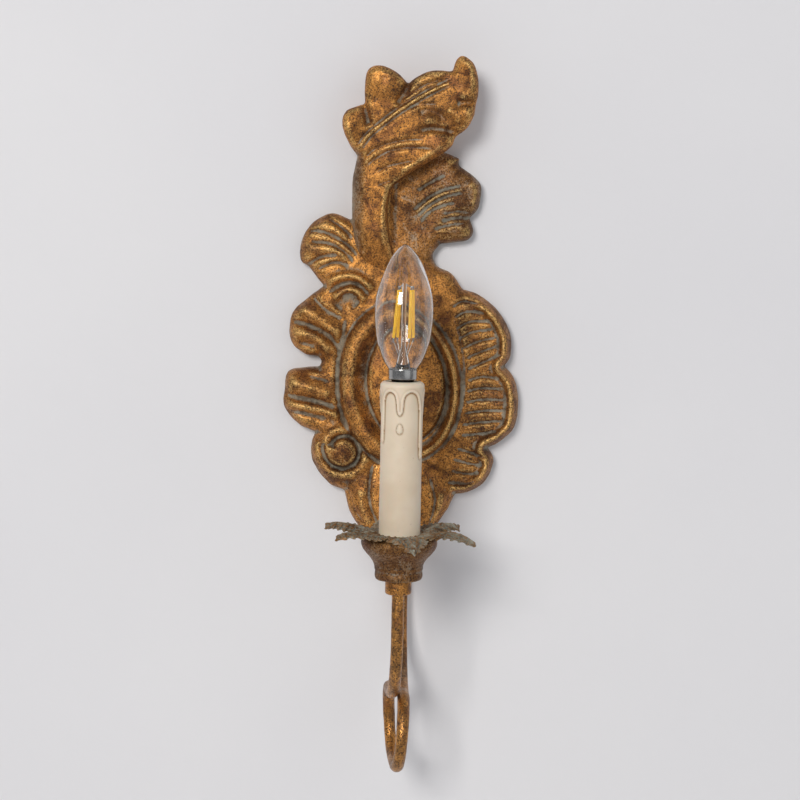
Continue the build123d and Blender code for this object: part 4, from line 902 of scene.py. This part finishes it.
# %% Gilt materials
def gilt_material(name, wear, verdigris, bole, brightness, shade=0, bump_depth=0.00032, polish=0):
    material, nodes, shader = new_material(name, IOR=1.5)
    # The darkening marked on the mesh, partly painted shade, adds to the piece's own darker tone.
    umber_and_shade = nodes.math("ADD", nodes.mark("umber_and_shade"), shade)
    coat = place_group(nodes, gilding, Hollow=nodes.mark("hollow"), Rub=nodes.mark("rub"), Wear=wear,
                       Verdigris=verdigris, Bole=bole, Brightness=brightness, Shade=umber_and_shade)
    nodes.feed(shader.inputs["Base Color"], coat.outputs["Color"])
    nodes.feed(shader.inputs["Roughness"], nodes.math("SUBTRACT", coat.outputs["Roughness"], polish))
    nodes.feed(shader.inputs["Metallic"], coat.outputs["Metallic"])
    bump_from(nodes, shader, coat.outputs["Height"], bump_depth)
    return material


gilt_wood = gilt_material("gilt_wood_antique", 0.9, 0.8, 0.6, 0.8, 0.06)
gilt_iron = gilt_material("gilt_iron_antique", 1, 0.3, 0.6, 0.16, 0.16, 0.0003, 0.17)
dark_cup = gilt_material("gilt_cup_patinated", 1, 0.9, 0.7, 0.3, 0.72, 0.0004)
for piece in (board, crest, root):
    piece.data.materials.clear()
    piece.data.materials.append(gilt_wood)
finish_piece(board, "sconce", ["carved_backplate"])
finish_piece(crest, "sconce", ["carved_backplate"])
finish_piece(root, "sconce", ["carved_backplate"])


# %% [markdown]
# ## Turned pieces
# The cup, the ferrule, the sleeve, the glass and the lamp's cap are all turned, so each is a half
# section extruded point by point from one vertex and spun once round the candle's axis.

# %% Spin a half section
def turned(name, section, steps=96, closed=True):
    """Spin a half section of (radius, height) points round the candle axis."""
    bpy.ops.object.select_all(action="DESELECT")
    first_r, first_z = section[0]
    bpy.ops.mesh.primitive_plane_add(size=0.001, location=(0, 0, 0))
    obj = bpy.context.object
    obj.name = name
    obj.data.name = name
    bpy.ops.object.mode_set(mode="EDIT")
    bpy.ops.mesh.select_mode(type="VERT")
    bpy.ops.mesh.select_all(action="SELECT")
    bpy.ops.mesh.merge(type="CENTER")
    bpy.ops.transform.translate(value=mm(first_r, -CANDLE_OUT, first_z))
    at = np.array(section[0])
    for radius, height in section[1:]:
        step = np.array((radius, height)) - at
        bpy.ops.mesh.extrude_region_move(TRANSFORM_OT_translate={"value": mm(step[0], 0, step[1])})
        at = np.array((radius, height))
    bpy.ops.mesh.select_all(action="SELECT")
    if closed:
        bpy.ops.mesh.edge_face_add()
        bpy.ops.mesh.delete(type="ONLY_FACE")
        bpy.ops.mesh.select_all(action="SELECT")
    bpy.ops.mesh.spin(steps=steps, angle=2 * math.pi, center=place(0, CANDLE_OUT, 0), axis=(0, 0, 1))
    bpy.ops.mesh.select_all(action="SELECT")
    bpy.ops.mesh.remove_doubles(threshold=0.000004)
    bpy.ops.mesh.normals_make_consistent(inside=False)
    bpy.ops.object.mode_set(mode="OBJECT")
    return obj


# %% The cup and the ferrule under it
def above(base, section):
    """A half section whose heights are counted from a base height."""
    return [(radius, base + height) for radius, height in section]


cup_outside = above(CUP_BOTTOM, [
    (5.2, 0), (10, 0), (13.2, 0.1), (14.1, 1.2), (14.4, 2.6), (14.2, 5.4), (14.6, 6.6), (14.7, 8.2),
    (15.6, 10.6), (17.2, 13.2), (19.2, 15.4), (20.6, 17.2), (21.6, 18.4), (22.6, 20.4), (22.9, 22.6),
    (22.2, 24.6)])
cup_outside += above(CUP_TOP, [(20.8, -0.3), (19.4, -0.1)])
cup_section = list(map(tuple, smooth_line(cup_outside, 0.7)))
cup_section += above(CUP_TOP, [(18.6, -0.9), (17.6, -3), (14.5, -9), (12, -15)])
cup_section += above(CUP_BOTTOM, [(10.5, 4), (5.2, 4)])
cup = turned("turned_cup", cup_section, 128)
weather(cup, "cup_skin", 0.45, 6)
mark_relief(cup, rounds=8, full=0.4, wash_and_painted_light=0.26)
cup.data.materials.append(dark_cup)
finish_piece(cup, "sconce", ["candle_cup"], 50)

ferrule_section = above(FERRULE_BOTTOM, [
    (3.9, 0), (6.9, 0), (7.5, 0.2), (7.9, 0.8), (8, 1.6), (7.95, 4.5)])
ferrule_section += above(CUP_BOTTOM, [(8, -1.2), (7.9, -0.4), (7.6, 0), (5.1, 0)])
ferrule_section += above(FERRULE_BOTTOM, [(5.1, 4.5), (3.9, 4.5)])
ferrule = turned("iron_ferrule", ferrule_section, 72)
apply_modifier(ferrule, "BEVEL", width=0.00018, segments=2, limit_method="ANGLE")
mark_relief(ferrule, rounds=4, full=0.3)
ferrule.data.materials.append(gilt_iron)
finish_piece(ferrule, "sconce", ["ferrule"], 40)

# %% [markdown]
# ## The looped arm
# The arm is one steel tube bent on a former: straight runs joined by arcs, down the back of the
# board, forwards, once round a narrow loop and up to the cup. A curve with a round bevel makes
# it. Its handles reproduce the arcs, and its thickness wanders a little, as hand-bent tube does.

# %% Bend the tube
TUBE_R = 3.8
ARM_ROUTE = [(2.5, 9.5, -50), (2.5, 9.5, -195), (5.5, 90, -195), (2.75, 88, -239),
             (-2.75, 36, -239), (-5.5, 35, -192), (0, 110, -192), (0, 110, -116.5)]
ARM_BENDS = [57, 21.5, 21, 21, 22, 46]
WANDER = [1, 1, 0.98, 1.03, 1, 0.98, 1.04, 1, 0.97, 1.02, 1, 1.03, 0.98, 1]


def bent_tube(name, route, bends, radius):
    corners = [place(*corner) for corner in route]
    knots = [(corners[0], None, (corners[1] - corners[0]) * 0.2)]
    for before, corner, after, bend in zip(corners, corners[1:], corners[2:], bends):
        into, out_of = (corner - before).normalized(), (after - corner).normalized()
        turn = into.angle(out_of)
        back_off = bend * MM * math.tan(turn / 2)
        handle = bend * MM * math.tan(turn / 4) * 4 / 3
        start, end = corner - into * back_off, corner + out_of * back_off
        knots.append((start, -into * handle, into * handle))
        knots.append((end, -out_of * handle, out_of * handle))
    knots.append((corners[-1], (corners[-2] - corners[-1]) * 0.2, None))
    curve = bpy.data.curves.new(name, "CURVE")
    curve.dimensions = "3D"
    curve.bevel_depth = radius * MM
    curve.bevel_resolution = 8
    curve.resolution_u = 14
    curve.use_fill_caps = True
    spline = curve.splines.new("BEZIER")
    spline.bezier_points.add(len(knots) - 1)
    for i, (knot, (at, left, right)) in enumerate(zip(spline.bezier_points, knots)):
        knot.co = at
        far_left, far_right = i > 0, i < len(knots) - 1
        knot.handle_left = at + (left if left else -right)
        knot.handle_right = at + (right if right else -left)
        straight_before = far_left and i % 2 == 1
        straight_after = far_right and i % 2 == 0
        if straight_before:
            knot.handle_left = at + (knots[i - 1][0] - at) / 3
        if straight_after:
            knot.handle_right = at + (knots[i + 1][0] - at) / 3
        knot.radius = WANDER[i % len(WANDER)]
    obj = bpy.data.objects.new(name, curve)
    bpy.context.collection.objects.link(obj)
    pick(obj)
    bpy.ops.object.convert(target="MESH")
    return bpy.context.object


arm = bent_tube("looped_arm", ARM_ROUTE, ARM_BENDS, TUBE_R)
tidy_mesh(arm)
weather(arm, "forged_skin", 0.35, 7)
mark_relief(arm, rounds=6, full=0.35)
arm.data.materials.clear()
arm.data.materials.append(gilt_iron)
finish_piece(arm, "sconce", ["scroll_arm"])

# %% [markdown]
# ## The leaf pan
# The drip pan is thin sheet: a disc with six pointed leaves, cut with ragged teeth and pressed with
# a midrib and fine side veins. One leaf is modelled on a grid and copied six times; each copy
# gets its own bend, so that no two droop alike.

# %% One leaf, then six
PAN_BOTTOM = CUP_TOP
LEAF_ROOT, LEAF_REACH = 11, 48.0
LEAF_HALF_WIDTH = 12.8
SHEET = 0.6  # thickness of the metal
LEAF_ARCH = 3.4
LEAF_TIP_RISE = [-0.4, -0.5, 1.5, 2, 3.5, 4]  # from the front leaf round by the right
FRONT_LEAF_TURN = 10.0  # degrees to the right


def leaf_width(t):
    """Half width of the leaf along its length (0 to 1), with teeth that point at the tip."""
    body = np.interp(t, [0, 0.15, 0.45, 0.7, 0.88, 1], [0.62, 0.8, 1, 0.78, 0.42, 0.04])
    tooth = (t * 9) % 1.0
    return LEAF_HALF_WIDTH * body * (1 - 0.34 * tooth * smoothstep(0.1, 0.35, t))


def leaf(index):
    bpy.ops.object.select_all(action="DESELECT")
    bpy.ops.mesh.primitive_grid_add(x_subdivisions=72, y_subdivisions=36, size=1)
    obj = bpy.context.object
    obj.name = "pan_leaf"
    pts = np.empty(len(obj.data.vertices) * 3)
    obj.data.vertices.foreach_get("co", pts)
    pts = pts.reshape(-1, 3)
    t, side = pts[:, 0] + 0.5, pts[:, 1] * 2
    sweep = np.clip(t - 0.10 * np.abs(side), 0, 1)
    half = leaf_width(np.clip(t, 0, 1))
    radius = LEAF_ROOT + (LEAF_REACH - LEAF_ROOT) * t
    across = side * half
    rise = LEAF_TIP_RISE[index]
    span = np.array([LEAF_ROOT, 20, 31, 41, LEAF_REACH])
    lift = np.array([0.3, 0.9, LEAF_ARCH, LEAF_ARCH + 0.6 * rise - 1.6, LEAF_ARCH + rise - 5.2])
    line = smooth_line(list(zip(span, lift)), 0.3)
    z = np.interp(radius, line[:, 0], line[:, 1])
    vein = np.abs(((sweep * 9.0 - np.abs(side) * 1.8) % 1) - 0.5) * 2
    z = z + 1.1 * vein * smoothstep(0.05, 0.3, np.abs(side)) + 1.0 * np.exp(-((across / 0.9) ** 2))
    z = z - 2.2 * side**2 * smoothstep(0.15, 0.5, t) + 0.6 * np.sin(6 * side + index * 1.7) * t
    turn = math.radians(FRONT_LEAF_TURN - 90 + index * 60)
    ux, uy = math.cos(turn), math.sin(turn)
    pts[:, 0] = radius * ux - across * uy
    pts[:, 1] = radius * uy + across * ux - CANDLE_OUT
    pts[:, 2] = PAN_BOTTOM + SHEET + z
    obj.data.vertices.foreach_set("co", (pts * MM).ravel())
    obj.data.update()
    apply_modifier(obj, "SOLIDIFY", thickness=SHEET * MM, offset=-1)
    return obj


disc_section = above(PAN_BOTTOM, [(5.1, 0), (19.5, 0), (20, 0.3), (19.6, 0.75), (5.1, 0.8)])
pan_parts = [leaf(i) for i in range(6)] + [turned("pan_disc", disc_section, 96)]
pan = join(pan_parts, "leaf_pan")
mark_relief(pan, rounds=3, full=0.3, wash_and_painted_light=0.6)
pan_finish = gilt_material("leaf_pan_verdigris", 0.6, 1, 0.3, 0.5, 0.3, 0.00015)
pan.data.materials.clear()
pan.data.materials.append(pan_finish)
finish_piece(pan, "sconce", ["drip_pan"], 40)


# %% [markdown]
# ## The waxy sleeve
# The sleeve is a card tube dipped in wax-like resin. Its coat ends in arches and runs, with a round
# drop at the end of the middle one. The tube is spun with a fine skin, and the coat is raised
# wherever the skin lies above the wavy lower edge of the coat.

# %% Spin the sleeve and lay the coat on
SLEEVE_WALL = 1.3
LIP_R = 9.6
rows = [SLEEVE_BOTTOM + i * 0.55 for i in range(1, int((SLEEVE_TOP - SLEEVE_BOTTOM - 2.6) / 0.55))]
skin_r = SLEEVE_R - 0.75
bore_r = SLEEVE_R - SLEEVE_WALL - 0.7
sleeve_section = [(skin_r - 0.35, SLEEVE_BOTTOM), (skin_r, SLEEVE_BOTTOM + 0.35)]
sleeve_section += [(skin_r, z) for z in rows]
sleeve_section += [(skin_r - inset, SLEEVE_TOP - down) for inset, down in [
    (0, 2.6), (0.15, 1.6), (0.55, 0.75), (1.3, 0.2), (2.2, 0)]]
sleeve_section += above(SLEEVE_TOP, [
    (LIP_R + 0.3, -0.15), (LIP_R, -0.6), (LIP_R, -1.3), (LIP_R + 0.6, -2), (bore_r, -2.8)])
sleeve_section += [(bore_r, SLEEVE_BOTTOM)]
sleeve = turned("waxy_sleeve", sleeve_section, 192)

# lower edge of the coat: (place round the tube in mm from the front, height below the top)
COAT_EDGE = [
    (-41.4, -13), (-38.5, -25), (-36, -12), (-31, -6), (-27.5, -17), (-24.5, -20), (-22, -11), (-18, -5.5),
    (-15.8, -10), (-15.4, -27), (-14.8, -34), (-13.8, -36.5), (-12.7, -34), (-12.5, -27), (-12.2, -12),
    (-11, -7.8), (-8, -5.8), (-5, -7), (-3.7, -10.5), (-3.2, -15.5), (-2.6, -18.2), (-1.2, -19.6),
    (0.3, -18.2), (0.8, -15.5), (1.2, -10.5), (2.7, -7.2), (6, -5.8), (9.4, -7.4), (11.2, -11), (12.2, -18),
    (12.5, -38), (13, -44), (14.1, -46), (15.2, -44), (15.7, -38), (15.9, -12), (19, -6), (23, -9.5),
    (25.5, -23), (28, -10), (32, -5.5), (36, -15), (38.6, -20), (41.5, -13),
]
COAT = 0.72  # thickness of the coat
DROP = (-1.2, -28.5)  # the round drop that ran on below the middle arch
points = read_points(sleeve)
dx, dout = points[:, 0], points[:, 1] - CANDLE_OUT
radius = np.hypot(dx, dout)
around = np.arctan2(dx, dout) * SLEEVE_R
below = points[:, 2] - SLEEVE_TOP
edge_dots = smooth_line(COAT_EDGE, 0.35)
gap = np.full(len(around), 9)
coated = below > np.interp(around, edge_dots[:, 0], edge_dots[:, 1])
for sx, sz in edge_dots:
    gap = np.minimum(gap, np.hypot(around - sx, below - sz))
depth = np.where(coated, gap, -gap)
coat = COAT * smoothstep(-0.25, 0.6, depth) + 0.36 * np.exp(-(((depth - 0.85) / 0.7) ** 2))
drop_gap = np.hypot(around - DROP[0], (below - DROP[1]) * np.where(below > DROP[1], 0.5, 1))
coat = np.maximum(coat, 1.0 * np.sqrt(np.clip(1 - (drop_gap / 1.9) ** 2, 0, 1)))
outer = radius > skin_r - 0.6
coat = np.where(outer, coat, 0) * smoothstep(0.1, 1.6, -below)
scale = 1 + coat / np.maximum(radius, 1)
points[:, 0] = dx * scale
points[:, 1] = CANDLE_OUT + dout * scale
write_points(sleeve, points)
apply_modifier(sleeve, "SMOOTH", factor=0.5, iterations=1)
weather(sleeve, "wax_skin", 0.12, 12)
mark_relief(sleeve, rounds=6, full=0.22)

# %% Wax finish
wax, nodes, shader = new_material("waxy_resin", Roughness=0.46, IOR=1.45, Subsurface_Weight=0.12,
                                  Subsurface_Scale=0.004)
spot = nodes.spot()
hollow, rub = nodes.mark("hollow"), nodes.mark("rub")
cloud = nodes.noise(spot, 42, 3, 0.5)
cream = nodes.mix(nodes.spread(cloud, 0.35, 0.65), rgb(216, 196, 170), rgb(226, 208, 184))
# Paler on the coat's raised edges, a painted highlight, and darker brown in the creases beside them.
cream = nodes.mix(nodes.math("MULTIPLY", rub, 0.5), cream, rgb(236, 222, 200))
cream = nodes.mix(nodes.math("MULTIPLY", hollow, 1.25, clamp=True), cream, rgb(146, 112, 74))
specks = nodes.spread(nodes.noise(spot, 520, 2, 0.5), 0.72, 0.8)
cream = nodes.mix(nodes.math("MULTIPLY", specks, 0.35), cream, rgb(160, 132, 96))
nodes.feed(shader.inputs["Base Color"], cream)
nodes.feed(shader.inputs["Roughness"], nodes.spread(cloud, 0.3, 0.7, 0.42, 0.52))
bump_from(nodes, shader, nodes.noise(spot, 260, 3, 0.5), 0.00008)
sleeve.data.materials.append(wax)
finish_piece(sleeve, "candle", ["candle_sleeve"])

# %% [markdown]
# ## The lamp
# A clear candle lamp: a blown envelope with real wall thickness, a pressed nickel cap with its
# thread, and four light strips on wires round a glass stem. Glass looks right only when it has an
# inner and an outer wall, so its half section goes up the outside and back down the inside.

# %% Blow the envelope
glass_base = CAP_TOP
glass_height = GLASS_TIP - glass_base
GLASS_R, NECK_R, GLASS_WALL = 17.5, 7.9, 0.5
BELLY = [(0.66, 0.05), (0.795, 0.13), (0.92, 0.235), (1, 0.4), (0.965, 0.56), (0.8, 0.71), (0.52, 0.87)]
glass_points = [(NECK_R, glass_base - 5), (NECK_R + 0.3, glass_base - 1.5)]
glass_points += [(r * GLASS_R, glass_base + h * glass_height) for r, h in BELLY]
glass_points += [(0.22 * GLASS_R, glass_base + 0.965 * glass_height), (0.4, GLASS_TIP)]
outside = smooth_line(glass_points, 1.3)
slope = np.gradient(outside, axis=0)
slope /= np.linalg.norm(slope, axis=1)[:, None]
inside = outside + GLASS_WALL * np.stack([-slope[:, 1], slope[:, 0]], axis=1)
inside = inside[inside[:, 0] > 0.5]
envelope_section = [(0, GLASS_TIP)] + [tuple(p) for p in outside[::-1]]
envelope_section += [tuple(p) for p in inside] + [(0, GLASS_TIP - 1.4 * GLASS_WALL)]
envelope = turned("glass_envelope", envelope_section, 96, closed=False)

clear_glass, nodes, shader = new_material(
    "clear_glass_lamp", Base_Color=(1, 1, 1, 1), IOR=1.46, Transmission_Weight=1, Metallic=0.0
)
spot = nodes.spot()
smear = nodes.noise(spot, 60, 3, 0.5)
nodes.feed(shader.inputs["Roughness"], nodes.spread(smear, 0.45, 0.75, 0, 0.04))
tint = nodes.mix(nodes.spread(smear, 0.4, 0.7), (1, 1, 1, 1), rgb(250, 249, 246))
nodes.feed(shader.inputs["Base Color"], tint)
envelope.data.materials.append(clear_glass)
finish_piece(envelope, "lamp", ["bulb_glass"])

# %% The nickel cap with its thread
SKIRT_BOTTOM = CAP_TOP - 7.0
THREAD_TURNS = 5
cap_section = above(CAP_TOP, [(7.2, 0), (8.1, -0.05), (8.4, -0.4)])
cap_section += above(SKIRT_BOTTOM, [(8.4, 0.9), (8.2, 0.3), (7.6, 0)])
for i in range(THREAD_TURNS * 6 + 1):
    t = i / (THREAD_TURNS * 6)
    wave = 0.32 * math.cos(2 * math.pi * THREAD_TURNS * t)
    cap_section.append((6.5 + wave, SKIRT_BOTTOM - 0.4 - 13.2 * t))
cap_section += above(CAP_BOTTOM, [(5.6, 0.8), (4.4, 0.2), (4, 0.2), (4, 0.6), (5.3, 1.3)])
cap_section += above(SKIRT_BOTTOM, [(5.8, -1), (7.2, 0.8)])
cap = turned("nickel_cap", cap_section, 96)
nickel, nodes, shader = new_material("nickel_plate", Metallic=1)
spot = nodes.spot()
haze = nodes.noise(spot, 220, 4, 0.6)
nodes.feed(shader.inputs["Base Color"], nodes.mix(haze, rgb(146, 146, 144), rgb(184, 183, 180)))
nodes.feed(shader.inputs["Roughness"], nodes.spread(haze, 0.3, 0.7, 0.14, 0.26))
bump_from(nodes, shader, nodes.noise(spot, 900, 2, 0.5), 0.00003)
cap.data.materials.append(nickel)
finish_piece(cap, "lamp", ["bulb_cap"], 35)

# %% The four light strips
# lower and upper end of each strip, in mm to the right and forwards of the axis
FILAMENTS = [
    ((-6, 2), (-3.2, 1.6)), ((-3.6, -3.6), (-2.4, -3)), ((3.4, 4), (4, 2.6)), ((5.8, -2.6), (5.2, -1.8)),
]
strip_lo, strip_hi = node_box("bulb_filaments")


def strip(start, end, radius, name):
    """A slim rod with rounded ends between two places."""
    bpy.ops.object.select_all(action="DESELECT")
    bpy.ops.mesh.primitive_cylinder_add(vertices=20, radius=radius * MM, depth=(end - start).length)
    rod = bpy.context.object
    rod.name = name
    rod.rotation_euler = (end - start).to_track_quat("Z", "Y").to_euler()
    rod.location = (start + end) / 2
    apply_place(rod)
    apply_modifier(rod, "BEVEL", width=radius * 0.55 * MM, segments=3, limit_method="ANGLE")
    return rod


strips, clips = [], []
for (low_x, low_fwd), (high_x, high_fwd) in FILAMENTS:
    start = place(low_x, CANDLE_OUT + low_fwd, strip_lo[2] + 0.3)
    end = place(high_x, CANDLE_OUT + high_fwd, strip_hi[2] - 0.3)
    along = (end - start).normalized() * MM
    strips.append(strip(start + along, end - along, 0.95, "light_strip"))
    clips.append(strip(start - along * 1.4, start + along * 1.6, 0.45, "strip_clip"))
    clips.append(strip(end - along * 1.6, end + along * 1.4, 0.45, "strip_clip"))
light_strips = join(strips, "light_strips")
strip_clips = join(clips, "strip_clips")
phosphor, nodes, shader = new_material("strip_phosphor", Roughness=0.5, Emission_Strength=0.22)
spot = nodes.spot()
dots = nodes.noise(spot, 900, 2, 0.5)
amber = nodes.mix(dots, rgb(252, 186, 26), rgb(255, 204, 60))
nodes.feed(shader.inputs["Base Color"], amber)
nodes.feed(shader.inputs["Emission Color"], amber)
bump_from(nodes, shader, dots, 0.0001)
light_strips.data.materials.append(phosphor)
strip_clips.data.materials.append(nickel)
finish_piece(light_strips, "lamp", ["bulb_filaments"], 40)
finish_piece(strip_clips, "lamp", (), 40)


# %% [markdown]
# ## Finishes for the frame's own pieces
# The small pieces inside already have their right shape, so they only get finishes. Each finish
# has its own base colour, a noise that varies it, and a fine bump for its surface.

# %% Plain finishes from one recipe
def plain_finish(name, color_a, color_b, metallic, rough_a, rough_b, scale, bump_depth):
    material, nodes, shader = new_material(name, Metallic=metallic)
    spot = nodes.spot()
    vary = nodes.noise(spot, scale, 4, 0.6)
    color = nodes.mix(nodes.spread(vary, 0.3, 0.7), rgb(*color_a), rgb(*color_b))
    nodes.feed(shader.inputs["Base Color"], color)
    nodes.feed(shader.inputs["Roughness"], nodes.spread(vary, 0.3, 0.7, rough_a, rough_b))
    bump_from(nodes, shader, nodes.noise(spot, scale * 4, 2, 0.5), bump_depth)
    return material


steel = plain_finish("zinc_steel", (150, 150, 146), (190, 188, 180), 0.9, 0.28, 0.48, 180, 0.00005)
brass = plain_finish("turned_brass", (150, 112, 52), (196, 156, 84), 0.95, 0.22, 0.42, 160, 0.00004)
black = plain_finish("moulded_phenolic", (18, 18, 19), (34, 33, 33), 0, 0.35, 0.5, 240, 0.00004)
block_plastic = plain_finish("milky_plastic", (214, 214, 206), (230, 230, 224), 0, 0.35, 0.5, 120, 0.00005)
brown = plain_finish("brown_insulation", (92, 54, 30), (112, 68, 40), 0, 0.4, 0.55, 200, 0.00003)
blue = plain_finish("blue_insulation", (34, 74, 140), (46, 92, 162), 0, 0.4, 0.55, 200, 0.00003)
green = plain_finish("green_insulation", (60, 130, 54), (120, 150, 40), 0, 0.4, 0.55, 90, 0.00003)
glazed = plain_finish("glazed_insulator", (40, 36, 42), (62, 56, 62), 0, 0.12, 0.25, 150, 0.00003)
wire = plain_finish("nickel_wire", (170, 168, 164), (208, 206, 200), 1, 0.2, 0.35, 500, 0.00002)

SLOT_FINISH = {
    "gilt_wood": gilt_wood, "gilt_iron": gilt_iron, "steel": steel, "brass": brass, "holder_black": black,
    "clear_plastic": block_plastic, "lead_brown": brown, "lead_blue": blue, "lead_green": green,
    "candle_cream": wax, "clear_glass": clear_glass, "filament_yellow": phosphor, "nickel": nickel,
    "cap_insulator": glazed,
}
for name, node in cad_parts.items():
    for slot in node.material_slots:
        slot_name = slot.material.name.split(".")[0]
        slot.material = SLOT_FINISH.get(slot_name, steel)
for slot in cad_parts["filament_supports"].material_slots:
    slot.material = wire
print("finishes placed on", len(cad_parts), "nodes")


# %% [markdown]
# ## Wall and floor
# The sconce hangs on a plain pale wall. Seen from behind, the wall would hide everything, so its
# back face is clear to the camera, and it lets shadow rays through to a weak light behind it.

# %% Stage
def stage_material(name, color_a, color_b):
    material, nodes, shader = new_material(name, Roughness=0.85, Specular_IOR_Level=0.2)
    spot = nodes.spot()
    mottle = nodes.noise(spot, 2.2, 4, 0.5)
    nodes.feed(shader.inputs["Base Color"], nodes.mix(nodes.spread(mottle, 0.3, 0.7), color_a, color_b))
    bump_from(nodes, shader, nodes.noise(spot, 120, 4, 0.6), 0.00012)
    path = nodes.add("ShaderNodeLightPath").outputs
    behind = nodes.add("ShaderNodeNewGeometry").outputs["Backfacing"]
    seen_behind = nodes.math("MULTIPLY", path["Is Camera Ray"], behind)
    clear = nodes.math("MAXIMUM", seen_behind, path["Is Shadow Ray"])
    gone = nodes.add("ShaderNodeBsdfTransparent").outputs["BSDF"]
    blend = nodes.add("ShaderNodeMixShader")
    nodes.feed(blend.inputs[0], clear)
    nodes.feed(blend.inputs[1], shader.outputs["BSDF"])
    nodes.feed(blend.inputs[2], gone)
    out = [node for node in nodes.tree.nodes if node.bl_idname == "ShaderNodeOutputMaterial"][0]
    nodes.feed(out.inputs["Surface"], blend.outputs[0])
    return material


def stage_plane(name, size, location, rotation, material):
    bpy.ops.object.select_all(action="DESELECT")
    bpy.ops.mesh.primitive_plane_add(size=size, location=location, rotation=rotation)
    plane = bpy.context.object
    plane.name = name
    plane.data.materials.append(material)


pale = stage_material("pale_plaster", rgb(226, 225, 227), rgb(231, 230, 231))
stage_plane("wall", 6, (0, 0.0002, 0), (math.pi / 2, 0, 0), pale)
stage_plane("floor", 6, (0, 0, -1.2), (0, 0, 0), pale)

# %% [markdown]
# ## Light
# One large soft window-like light stands to the left, a little above, and a weak wide one fills from
# the front. The world gives an even grey glow.

# %% Lights
def area_light(name, location, target, size, power, color=(1, 1, 1)):
    data = bpy.data.lights.new(name, "AREA")
    data.size = size
    data.energy = power
    data.color = color
    light = bpy.data.objects.new(name, data)
    bpy.context.collection.objects.link(light)
    light.location = location
    light.rotation_euler = (Vector(target) - Vector(location)).to_track_quat("-Z", "Y").to_euler()
    return light


area_light("key", (-0.75, -2.6, 0.85), (0, 0, 0), 0.8, 42, (1, 0.985, 0.965))
area_light("side", (-1.5, -0.9, 0.35), (0, 0, 0), 1.1, 1, (1, 0.98, 0.95))
area_light("fill", (1.2, -1.5, 0.1), (0, 0, 0), 1.6, 4.2, (0.96, 0.98, 1))
area_light("behind", (0.1, 1.2, 0.5), (0, 0, 0), 0.9, 7)
world = bpy.data.worlds.new("studio")
world.use_nodes = True
world.node_tree.nodes["Background"].inputs["Color"].default_value = (0.93, 0.95, 1, 1)
world.node_tree.nodes["Background"].inputs["Strength"].default_value = 0.3
bpy.context.scene.world = world
bpy.context.scene.view_settings.view_transform = "Standard"

# %% [markdown]
# ## Camera
# The camera stands straight in front, 1.2 m away and slightly above, and is turned about a degree.

# %% Camera
CAMERA_AT = Vector(mm(-1.3, -1200, 101.05))
LOOK_AT = Vector(mm(-1.3, 0, -14.5))
ROLL = math.radians(-1.2)
FOCAL_IN_WIDTHS = 2.2975  # focal length over the width of the view
camera_data = bpy.data.cameras.new("camera")
camera_data.sensor_width = 36.0
camera_data.lens = FOCAL_IN_WIDTHS * camera_data.sensor_width
camera = bpy.data.objects.new("camera", camera_data)
bpy.context.collection.objects.link(camera)
look = (LOOK_AT - CAMERA_AT).to_track_quat("-Z", "Y").to_matrix().to_4x4()
camera.matrix_world = Matrix.Translation(CAMERA_AT) @ look @ Matrix.Rotation(-ROLL, 4, "Z")
bpy.context.scene.camera = camera
print("lens", round(camera_data.lens, 1), "mm")
